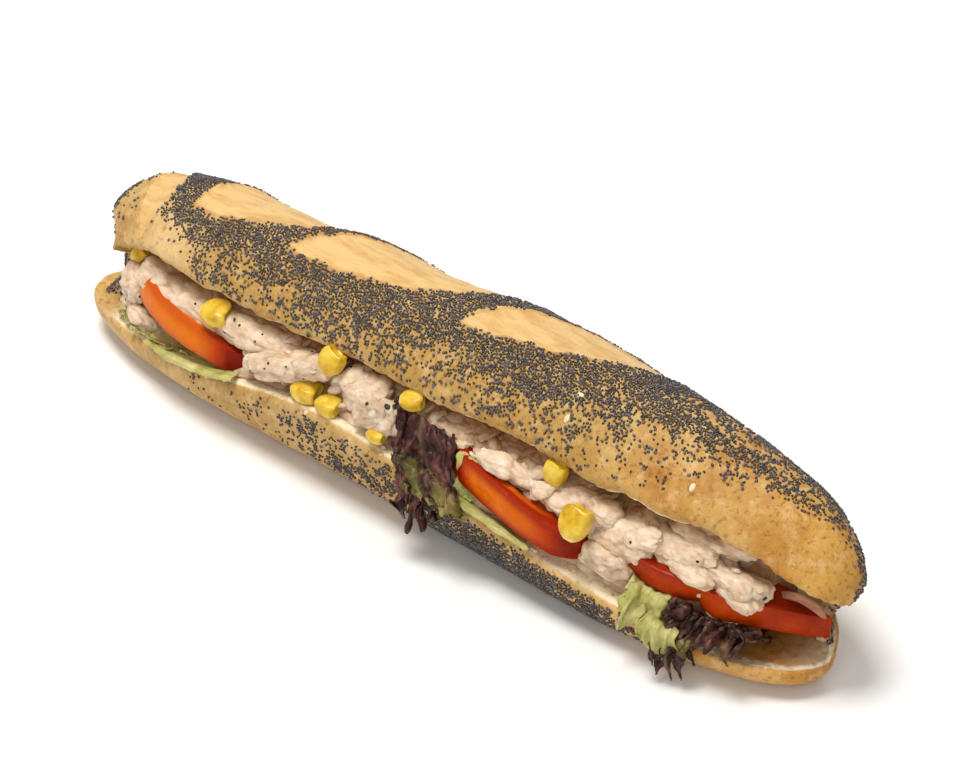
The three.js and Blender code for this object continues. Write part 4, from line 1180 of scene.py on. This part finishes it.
tomatoes = [
    {"x": -79.6, "share": 0.245, "radius": 30, "thickness": 7.3, "out": 0.6, "turn": -8, "droop": 9,
     "tip": -8, "front": 0.33, "left": -100, "back": -2, "red": 0.05, "endsRed": (0, 1.0), "darkRim": 0.3},
    {"x": 44, "share": 0.17, "radius": 27, "thickness": 8.4, "out": -0.1, "turn": -4.5, "droop": 9, "tip": -8,
     "front": 0.22, "left": 0, "back": 9, "red": 0.2, "endsRed": (1.0, 0.55), "darkRim": 0.9},
    # the third slice's higher red and darker rim: partly its own wet, darker flesh, partly painted shade
    # under the lid
    {"x": 90, "share": 0.46, "radius": 21, "thickness": 7.4, "out": -1.4, "turn": 0, "droop": 4, "tip": 4,
     "front": 0.7, "left": 0, "back": 9, "red": 0.56, "endsRed": (0.2, 0), "darkRim": 0.5},
    {"x": 110.6, "share": 0.44, "radius": 20.3, "thickness": 7.8, "out": -4.4, "turn": 30.5, "droop": 7.7,
     "tip": 0, "front": 0.14, "left": 0, "back": 0, "red": 0.5, "endsRed": (-0.25, 0.1), "darkRim": 0.25},
]
tomatoForm = {"arc": 102, "core": 0.9, "wall": 4.6, "gelDip": 0.8, "sag": 0.3, "bulge": 0.4}


def makeTomato(number, one, material):
    # the front half of a round slice and a little more, from its skin inwards
    half = one["thickness"] / 2
    turns = np.radians(np.linspace(-tomatoForm["arc"], tomatoForm["arc"], 190))[:, None]
    deep = np.linspace(1, 0, 40)[:-1] ** 1.4  # closer rows near the skin
    bend = np.radians(np.linspace(90, -90, 19))
    share = np.concatenate([deep, 0 * bend, deep[::-1]])
    height = half * np.concatenate([np.ones_like(deep), np.sin(bend), -np.ones_like(deep)])
    skin = np.concatenate([0 * deep, np.cos(bend) ** 0.5, 0 * deep])
    radius = one["radius"] * (1 + 0.02 * np.sin(3 * turns + one["x"]))
    bulge = tomatoForm["bulge"] * np.cos(height / half * math.pi / 2)[None, :] * (share == 0)
    away = radius * (1 - tomatoForm["core"] * share[None, :]) - tomatoForm["bulge"] + bulge
    back = 1 - np.cos(turns)
    back = one["front"] * back + (1 - one["front"]) * back**3  # below 1 it is straighter than round
    points = xyz(away * np.sin(turns), -away * (1 - back), height)
    depth = radius - away
    face = (np.abs(height) > half * 0.999)[None, :]
    lobes = np.sin(turns * one["radius"] / 4.8 + 1.7 * number) + 0.7 * layeredNoise(points, 6.0, 301 + number)
    lobes = smooth(-0.2, 0.3, lobes)
    gel = smooth(tomatoForm["wall"], tomatoForm["wall"] + 1.2, depth) * face * lobes
    rough = 0.14 * layeredNoise(points, 1.5, 311) + 0.28 * layeredNoise(points, 4.5, 315)
    edgeDrop = 0.3 * smooth(1.3, 0, depth)
    points[..., 2] += np.sign(height)[None, :] * face * (rough - edgeDrop - tomatoForm["gelDip"] * gel)
    dents = 0.1 * layeredNoise(points, 2.2, 321) + 0.22 * layeredNoise(points, 6.0, 325)
    points[..., :2] *= (1 + dents * (share == 0) / one["radius"])[..., None]
    points[..., 2] += tomatoForm["sag"] * layeredNoise(points * np.array([1, 1, 0]), 14.0, 331 + number)
    rings, around = points.shape[:2]
    flat = np.concatenate([points.reshape(-1, 3), points[[0, -1]].mean(axis=1)])
    flat = turned(turned(turned(flat, "Z", one["turn"]), "X", one["tip"]), "Y", one["droop"])
    middle = mouthPoint(one["x"], one["share"], one["out"])
    middle[1] += one["radius"] * math.cos(math.radians(one["tip"]))
    flat += middle
    flat[:, 1] = np.minimum(flat[:, 1], one["back"] + 0.04 * (flat[:, 1] - one["back"]))
    cut = one["left"] + 0.7 * (flat[:, 2] - flat[:, 2].max())  # one end is cut off aslant
    flat[:, 0] = np.maximum(flat[:, 0], cut)
    flat = inTheMouth(flat, 0.2 + (flat[:, 2] - flat[:, 2].min()) * 0.02)
    rim = one["darkRim"] * smooth(0.3, 1, np.abs(height) / half) * (share < 0.1)
    along = (flat[:-2, 0].reshape(rings, around) - middle[0]) / one["radius"]
    leftRed, rightRed = one["endsRed"]
    redness = one["red"] + leftRed * smooth(-0.45, -0.95, along) + rightRed * smooth(0.1, 0.8, along)
    piece = meshPiece(f"tomato_{number + 1}", flat, loftFaces(rings, around), {
        "skin": withPoles(np.tile(skin, (rings, 1))),
        "rim": withPoles(np.tile(rim, (rings, 1))),
        "gel": withPoles(gel),
        "red": withPoles(np.clip(redness, 0, 1)),
    })
    closeSeams(piece)
    return onBody(piece, [f"tomato_slice_{number + 1}"], material)


def tomatoMaterial():
    fruit = newMaterial("ripeTomato", Roughness=0.36, Specular_IOR_Level=0.05, Subsurface_Weight=0.1,
                        Subsurface_Scale=0.002, Subsurface_Radius=(1.0, 0.28, 0.12), Coat_Weight=0.1,
                        Coat_Roughness=0.03)
    blotches = reckon(fruit, "MULTIPLY", noiseOf(fruit, 110, 4, 0.6), 0.5)
    warm = reckon(fruit, "ADD", valueOf(fruit, "red"), blotches)
    skin = ramp(fruit, warm, shades((0.35, 222, 112, 10), (0.75, 184, 58, 3), (1.15, 124, 24, 1)))
    flesh = ramp(fruit, warm, shades((0.35, 208, 96, 22), (0.75, 156, 44, 6), (1.15, 112, 20, 2)))
    colour = blendColours(fruit, valueOf(fruit, "skin"), flesh, skin)
    colour = blendColours(fruit, valueOf(fruit, "gel"), colour, rgb(160, 72, 12))
    colour = blendColours(fruit, valueOf(fruit, "rim"), colour, rgb(150, 30, 4))
    fibres = noiseOf(fruit, 700, 4, 0.6)
    wet = bumps(fruit, noiseOf(fruit, 330, 4, 0.6), 1.0, 0.6)
    feed(fruit, Base_Color=colour, Normal=bumps(fruit, fibres, 0.25, 0.4, wet))
    return fruit


tomatoFinish = tomatoMaterial()
for number, one in enumerate(tomatoes):
    makeTomato(number, one, tomatoFinish)
print("tomato ready")


# ---- sweetcorn

kernels = [  # place along the loaf, share of the mouth's height, out, length, turn, tilt
    (-71.5, 0.72, -2.4, 10.5, 70, 15),
    (-25, 0.84, -0.5, 9.5, 20, 70),
    (-33, 0.19, -4.0, 10, 80, 0),
    (-23.5, 0.15, -3.2, 8.5, 85, 5),
    (3, 0.85, -3.2, 8, 60, 20),
    (53, 0.84, -4.2, 8.5, 10, 80),
    (66, 0.58, 1.5, 11, 0, 60),
    (-113, 0.78, -7, 6.5, 30, 60),
    (-4, 0.16, -1.5, 6.5, 80, 0),
]


def makeKernel(number, kernel, material):
    # a plump wedge with a dimpled crown, drawn in to its tip
    x, share, out, length, turn, tilt = kernel
    ball, faces = balls[5]
    px, py, pz = ball.T
    crown = np.clip(py, 0, 1)
    narrow = 1 - 0.42 * np.clip(-py, 0, 1)
    creased = 0.05 * np.sin(px * 7 + number) * smooth(0.2, 0.9, crown)
    dent = 0.24 * crown * bell(np.hypot(px * 0.8, pz * 1.3), 0.42) + creased
    size = length / 2
    form = xyz(
        signedPower(px, 0.5) * narrow * size * 0.8,
        (signedPower(py, 0.6) - dent) * size * 0.92,
        signedPower(pz, 0.55) * narrow * size * 0.52,
    )
    spot = form + number * 9.0
    dents = 0.2 * layeredNoise(spot, 4.4, 401 + number) + 0.05 * layeredNoise(spot, 1.0, 405)
    form += ball * dents[:, None]
    form = turned(turned(form, "Z", -turn), "X", tilt) + mouthPoint(x, share, out)
    piece = meshPiece(f"corn_{number + 1}", form, faces, {"tip": smooth(-0.55, -1, py)})
    closeSeams(piece, 0.000002)
    return onBody(piece, [f"sweetcorn_{number + 1}"], material)


def cornMaterial():
    corn = newMaterial("sweetcorn", Roughness=0.32, Specular_IOR_Level=0.3, Subsurface_Weight=0.25,
                       Subsurface_Scale=0.002, Subsurface_Radius=(1.0, 0.62, 0.1), Coat_Weight=0.2,
                       Coat_Roughness=0.1)
    patches = noiseOf(corn, 260, 3, 0.5)
    colour = ramp(corn, patches, shades((0.3, 192, 142, 20), (0.5, 218, 180, 42), (0.7, 232, 204, 86)))
    colour = blendColours(corn, valueOf(corn, "tip"), colour, rgb(244, 222, 150))
    feed(corn, Base_Color=colour, Normal=bumps(corn, noiseOf(corn, 800, 3, 0.5), 0.12, 0.4))
    return corn


cornFinish = cornMaterial()
for number, kernel in enumerate(kernels):
    makeKernel(number, kernel, cornFinish)
print("sweetcorn ready")


# ---- lettuce

leafForm = {"thickness": 0.42, "corner": 2.2, "lift": 0.8, "across": (40, 3), "along": 80, "lowest": 1.3}
# what holds for a sheet that doesn't say otherwise
usualSheet = {"flare": 0, "folds": 2, "ragged": 0.3, "tips": 4, "pale": 0, "veinsAlong": False}
# each leaf is one or more sheets: ways along the loaf (x), in from the rim and out over it, in mm
leaves = {
    "lettuce_leaf_left": [
        {"x": -79, "width": 39, "inside": 9, "outside": 3.2, "slant": 4, "rise": 0.8, "riseAt": 0.6,
         "crumple": 0.35, "ruffle": 0.08, "ragged": 0.1, "spikes": 0.05, "tips": 2, "purple": (0, 0),
         "pale": 0.9, "veinsAlong": True},
        {"x": -99, "width": 32, "inside": 9, "outside": -0.6, "slant": 2, "rise": 1.6, "riseAt": 1,
         "crumple": 0.6, "ruffle": 0.4, "folds": 4, "spikes": 0.1, "purple": (0, 0), "pale": 0.3,
         "veinsAlong": True},
    ],
    "lettuce_leaf_middle": [
        {"x": 14, "width": 21, "inside": 9, "outside": 6.5, "slant": 12, "flare": 0.1, "rise": 13.5,
         "riseAt": 0, "crumple": 2.0, "ruffle": 1.3, "folds": 3, "spikes": 0.2, "purple": (1.1, 0.7)},
        {"x": 18, "width": 22, "inside": 3, "outside": 7, "slant": 8, "flare": -0.1, "rise": 2.4,
         "riseAt": 0.3, "crumple": 1.4, "ruffle": 1.2, "folds": 3, "spikes": 0.3, "purple": (0.8, 0.45),
         "pale": 0.1},
        {"x": 15, "width": 15, "inside": 1, "outside": 13.5, "slant": 2, "flare": -0.3, "rise": 1.0,
         "riseAt": 0.3, "crumple": 1.2, "ruffle": 1.5, "folds": 3, "ragged": 0.4, "spikes": 0.9,
         "tips": 3.2, "purple": (0.9, 1.3)},
        {"x": 27, "width": 7, "inside": 8, "outside": -3, "slant": 0, "flare": 0.3, "rise": 12,
         "riseAt": 0.2, "crumple": 1.0, "ruffle": 0.8, "spikes": 0.2, "tips": 2, "purple": (0.3, 0),
         "pale": 0.7},
    ],
    "lettuce_rib": [
        {"x": 38, "width": 28, "inside": 4, "outside": 1.4, "slant": 4, "rise": 0.9, "riseAt": 0.5,
         "crumple": 0.4, "ruffle": 0.1, "ragged": 0.2, "spikes": 0.1, "tips": 3, "purple": (0.2, 0.1),
         "pale": 0.6, "veinsAlong": True},
    ],
    "lettuce_leaf_right": [
        {"x": 90, "width": 12, "inside": 10, "outside": 5, "slant": 2, "flare": 0.1, "rise": 6.5,
         "riseAt": 0.35, "crumple": 1.3, "ruffle": 0.9, "spikes": 0.25, "tips": 2, "purple": (0, 0.1),
         "pale": 0.7},
        {"x": 109, "width": 21, "inside": 10, "outside": 1.5, "slant": -3, "flare": 0.05, "rise": 7,
         "riseAt": 0.6, "crumple": 2.2, "ruffle": 1.3, "folds": 4, "ragged": 0.5, "spikes": 0.8, "tips": 7,
         "purple": (1.1, 0.9)},
        {"x": 101, "width": 14, "inside": 2, "outside": 12, "slant": 2, "flare": -0.25, "rise": 2,
         "riseAt": 0.5, "crumple": 1.2, "ruffle": 1.1, "folds": 3, "ragged": 0.4, "spikes": 0.95,
         "tips": 3.2, "purple": (0.4, 1.0), "pale": 0.1},
        {"x": 98, "width": 9, "inside": 4, "outside": 8, "slant": 1, "flare": 0.1, "rise": 4.5,
         "riseAt": 0.5, "crumple": 1.2, "ruffle": 0.7, "spikes": 0.4, "tips": 2, "purple": (0, 0.35),
         "pale": 0.5},
    ],
}


def overRim(x, travel, lift):
    # travel is the way out from the rim, below 0 on the cut; past the rim the sheet bends and hangs
    rim = rimPoint(x)
    corner = leafForm["corner"]
    bend = np.clip(travel / corner, 0, math.pi / 2)
    hang = np.maximum(0, travel - corner * math.pi / 2)
    reach = lift + 0.25 * hang
    outside = xyz(x, rim[..., 1] - reach * np.sin(bend), rim[..., 2] + lift * np.cos(bend) - hang)
    inY = rim[..., 1] - travel
    inside = xyz(x, inY, cutHeight(x, inY) + lift)
    return np.where((travel < 0)[..., None], inside, outside)


def leafSheet(sheet, seed):
    least, perMm = leafForm["across"]
    columns = least + perMm * sheet["width"]
    u, v = np.meshgrid(np.linspace(0, 1, columns), np.linspace(0, 1, leafForm["along"]), indexing="ij")
    wander = layeredNoise(xyz(u * sheet["width"], v * 12, 0), 6.0, seed)
    torn = layeredNoise(xyz(u * sheet["width"], 0, 0), 2.4, seed + 3)
    tips = np.abs(((u * sheet["tips"] + 0.3 * wander + 0.2 * seed) % 1) - 0.5) * 2
    fromSide = np.minimum(u, 1 - u)
    length = 1 + sheet["ragged"] * torn + sheet["spikes"] * (tips - 0.75)
    length = length + 0.25 * np.minimum(0, fromSide * 6 - 1)
    travel = (length - 1) * v**2 * (sheet["outside"] + sheet["inside"]) * 0.6
    travel = mix(-sheet["inside"], sheet["outside"], v) + travel
    edge = smooth(0.35, 1, v) + 0.6 * smooth(0.25, 0, fromSide)
    turn = 2 * math.pi * (sheet["folds"] * u + 0.55 * wander) + 1.3 * seed
    side = layeredNoise(xyz(v * 22, 9 * np.sign(u - 0.5), 0), 3.4, seed + 7)
    narrowing = 1 + sheet["flare"] * v - 0.25 * sheet["spikes"] * v * (1 - tips)
    narrowing = narrowing + 0.9 * sheet["ragged"] * side * np.abs(2 * u - 1) ** 3
    x = sheet["x"] + sheet["slant"] * (v - 0.5) + (u - 0.5) * sheet["width"] * narrowing
    x = x + 0.8 * sheet["ruffle"] * edge * np.cos(turn * 1.7)
    lift = leafForm["lift"] + sheet["rise"] * bell(v - sheet["riseAt"], 0.35)
    lift = lift + sheet["ruffle"] * (0.25 + edge) * (1 + np.sin(turn * 1.7)) * 0.7
    centre = overRim(offTheTips(x), travel, lift)
    for size, share in ((7.0, 1.0), (2.8, 0.55), (1.2, 0.2)):
        bumpy = layeredNoise(centre, size, seed + int(size * 10), 2)
        centre = centre + gridNormals(centre, False) * (sheet["crumple"] * share * bumpy)[..., None]
    centre[..., 2] = np.maximum(centre[..., 2], leafForm["lowest"])
    normal = gridNormals(centre, False)
    half = leafForm["thickness"] / 2 * (1.3 - 0.7 * v)[..., None]
    points = twoFaces(centre, normal * half)
    if sheet["veinsAlong"]:
        veins = bell(((v * 5 + 0.5 * wander) % 1) - 0.5, 0.13)
    else:
        midrib = bell(u - 0.5 - 0.05 * wander, 0.035)
        branches = bell(((v * 5 - np.abs(u - 0.5) * 5) % 1) - 0.5, 0.09) * 0.6
        veins = np.maximum(midrib, branches)
    purple = mix(*sheet["purple"], v) + 0.35 * wander
    pale = sheet["pale"] + 0.3 * wander
    values = [np.tile(np.clip(value, 0, 1).ravel(), 2) for value in (veins, purple, pale)]
    return points, slabFaces(*u.shape), np.stack(values, axis=-1)


def makeLeaf(name, sheets, material):
    firstSeed = 700 + len(name)
    parts = [leafSheet({**usualSheet, **own}, firstSeed + 17 * number) for number, own in enumerate(sheets)]
    points, faces, values = joined(parts)
    shownName = name.replace("lettuce_", "salad_").replace("leaf_", "")
    piece = meshPiece(shownName, points, faces, {
        "vein": values[:, 0], "purple": values[:, 1], "pale": values[:, 2]})
    closeSeams(piece, 0.000001)
    return onBody(piece, [name], material)


def leafMaterial():
    leaf = newMaterial("lettuceLeaf", Roughness=0.42, Specular_IOR_Level=0.16, Subsurface_Weight=0.15,
                       Subsurface_Scale=0.001, Coat_Weight=0.12, Coat_Roughness=0.12)
    blotches = noiseOf(leaf, 170, 5, 0.6)
    green = ramp(leaf, blotches, shades((0.3, 102, 100, 36), (0.5, 144, 138, 60), (0.68, 176, 166, 90)))
    paler = ramp(leaf, blotches, shades((0.3, 166, 162, 78), (0.65, 212, 204, 138)))
    green = blendColours(leaf, valueOf(leaf, "pale"), green, paler)
    purple = ramp(leaf, blotches, shades((0.3, 26, 10, 10), (0.52, 60, 28, 26), (0.74, 134, 82, 74)))
    mixed = ramp(leaf, valueOf(leaf, "purple"), [(0.25, 0.0), (0.75, 1.0)])
    colour = blendColours(leaf, mixed, green, purple)
    ribs = reckon(leaf, "MULTIPLY", valueOf(leaf, "vein"), 0.16)
    colour = blendColours(leaf, ribs, colour, rgb(186, 170, 128))
    creases = bumps(leaf, noiseOf(leaf, 700, 4, 0.65), 0.3, 0.6)
    feed(leaf, Base_Color=colour, Normal=bumps(leaf, valueOf(leaf, "vein"), 0.3, 0.5, creases))
    return leaf


leafFinish = leafMaterial()
for name, sheets in leaves.items():
    makeLeaf(name, sheets, leafFinish)
print("lettuce ready")


# ---- onion

onion = {"x": 127, "y": -2.2, "z": 26.8, "radius": 13, "width": 2.4, "thickness": 0.8, "from": -58, "to": 34}


def makeOnion():
    along = np.radians(np.linspace(onion["from"], onion["to"], 90))
    t, w = np.meshgrid(along, np.linspace(-0.5, 0.5, 16), indexing="ij")
    ends = np.sqrt(np.clip(1 - ((t - t.mean()) / (np.ptp(t) / 2)) ** 6, 0.03, 1))
    across = w * onion["width"] * ends
    centre = xyz(
        onion["x"] + onion["radius"] * np.sin(t),
        onion["y"] + 0.8 * across,
        onion["z"] - onion["radius"] + onion["radius"] * np.cos(t) + 0.6 * across,
    )
    centre[..., 2] += 0.25 * layeredNoise(centre, 5.0, 601)
    normal = gridNormals(centre, False)
    half = onion["thickness"] / 2 * (np.sqrt(np.clip(1 - (2 * w) ** 4, 0.1, 1)) * ends)[..., None]
    points = twoFaces(centre, normal * half)
    piece = meshPiece("onion", points, slabFaces(*t.shape), {"edge": np.tile(np.abs(2 * w).ravel() ** 3, 2)})
    closeSeams(piece, 0.000005)
    skin = newMaterial("redOnion", Roughness=0.3, Specular_IOR_Level=0.3, Subsurface_Weight=0.4,
                       Subsurface_Scale=0.002, Coat_Weight=0.15)
    layers = noiseOf(skin, 1, 3, 0.5, stretched(skin, (120, 900, 900)))
    colour = ramp(skin, layers, shades((0.35, 160, 112, 82), (0.65, 196, 152, 118)))
    colour = blendColours(skin, valueOf(skin, "edge"), colour, rgb(160, 100, 88))
    feed(skin, Base_Color=colour, Normal=bumps(skin, layers, 0.2, 0.5))
    return onBody(piece, ["onion_strip"], skin)


makeOnion()
print("onion ready")


# ---- small bits lying on the rest

pepper = {"spots": [(-66, 0.56), (-53.5, 0.7), (-54, 0.6), (-37, 0.86), (-36, 0.76), (-45, 0.44),
                    (-46, 0.34), (-52.5, 0.22), (-8.5, 0.54)],
          "more": 24, "size": (0.7, 1.1), "flat": 0.6, "colour": rgb(38, 30, 24), "lighter": rgb(74, 58, 42)}
herb = {"spots": [(-2, 0.7), (-1.2, 0.66), (-2.6, 0.63), (120, 0.6), (119, 0.63)],
        "size": (1.0, 1.7), "flat": 0.3, "colour": rgb(24, 44, 18), "lighter": rgb(58, 84, 34)}
sesame = {"spots": [(48, 19), (89.5, 18), (47.5, 33)], "size": (2.4, 2.8), "flat": 0.4,
          "colour": rgb(226, 200, 150), "lighter": rgb(240, 222, 182)}
crumbs = {"count": 60, "size": (0.6, 1.7), "flat": 0.75,
          "colour": rgb(214, 180, 124), "lighter": rgb(240, 218, 176)}


def surfaceOf(pieces):
    # the pieces' faces as one tree to drop things on
    corners, faces, count = [], [], 0
    for piece in pieces:
        corners += [corner.co.copy() for corner in piece.data.vertices]
        faces += [[index + count for index in face.vertices] for face in piece.data.polygons]
        count = len(corners)
    return BVHTree.FromPolygons(corners, faces)


def bitShape(hit, normal, size, flat, draw, drawnOut=1.0):
    # a small uneven grain lying flat on the surface
    ball, faces = balls[2]
    form = ball * np.array([size / 2 * drawnOut, size / 2, size / 2 * flat])
    form *= 1 + 0.3 * layeredNoise(ball + draw.uniform(0, 90), 0.9, 911, 2)[:, None]
    form = turned(form, "Z", draw.uniform(0, 360))
    lying = np.array(normal.to_track_quat("Z", "Y").to_matrix())
    return form @ lying.T + np.array(hit) / metresPerMm, faces, np.full(len(ball), draw.random())


def makeBits(name, settings, surfaces, throws, drawnOut=1.0):
    # each throw is where a bit starts and which way it goes, in mm
    draw = random.Random(len(name))
    tree = surfaceOf(surfaces)
    parts = []
    for start, way in throws:
        hit, normal, _, _ = tree.ray_cast(Vector(start) * metresPerMm, Vector(way))
        if hit is not None:
            size = draw.uniform(*settings["size"])
            parts.append(bitShape(hit, normal, size, settings["flat"], draw, drawnOut))
    points, faces, tone = joined(parts)
    piece = meshPiece(name, points, faces, {"tone": tone})
    closeSeams(piece, 0.000001)
    look = newMaterial(name + "Look", Roughness=0.5, Specular_IOR_Level=0.3)
    mottled = noiseOf(look, 1500, 3, 0.6)
    ownShade = reckon(look, "MULTIPLY", valueOf(look, "tone"), 0.4)
    shade = reckon(look, "ADD", ownShade, reckon(look, "MULTIPLY", mottled, 0.6))
    feed(look, Base_Color=ramp(look, shade, [(0.3, settings["colour"]), (0.7, settings["lighter"])]))
    return onBody(piece, [], look)


def fromTheFront(x, share):
    start, behind = mouthPoint(x, share, 18.0), mouthPoint(x, share, -18.0)
    return start, behind - start


def ontoTheLid(x, angle):
    start = swingUp(lidCrust(np.array(x), np.array(angle), 14.0))
    return start, swingUp(lidCrust(np.array(x), np.array(angle), 0.0)) - start


def ontoTheRim(x, inward):
    y = -heelHalfWidth(x) + inward
    return np.array([x, y, 16 + cutHeight(x, y)]), np.array([0.0, 0.0, -1.0])


draw = random.Random(31)
morePepper = [(draw.uniform(-114, 112), draw.uniform(0.25, 0.85)) for _ in range(pepper["more"])]
crumbSpots = [(draw.uniform(-112, 126), draw.uniform(0.8, 5)) for _ in range(crumbs["count"])]
makeBits("pepper", pepper, tunaPieces, [fromTheFront(x, share) for x, share in pepper["spots"] + morePepper])
makeBits("herbs", herb, tunaPieces, [fromTheFront(x, share) for x, share in herb["spots"]], 1.4)
makeBits("sesame", sesame, breadPieces[:1], [ontoTheLid(x, angle) for x, angle in sesame["spots"]], 0.7)
makeBits("bread_crumbs", crumbs, breadPieces[1:2], [ontoTheRim(x, inward) for x, inward in crumbSpots])
print("small bits ready")

bpy.context.scene.view_settings.view_transform = "Standard"
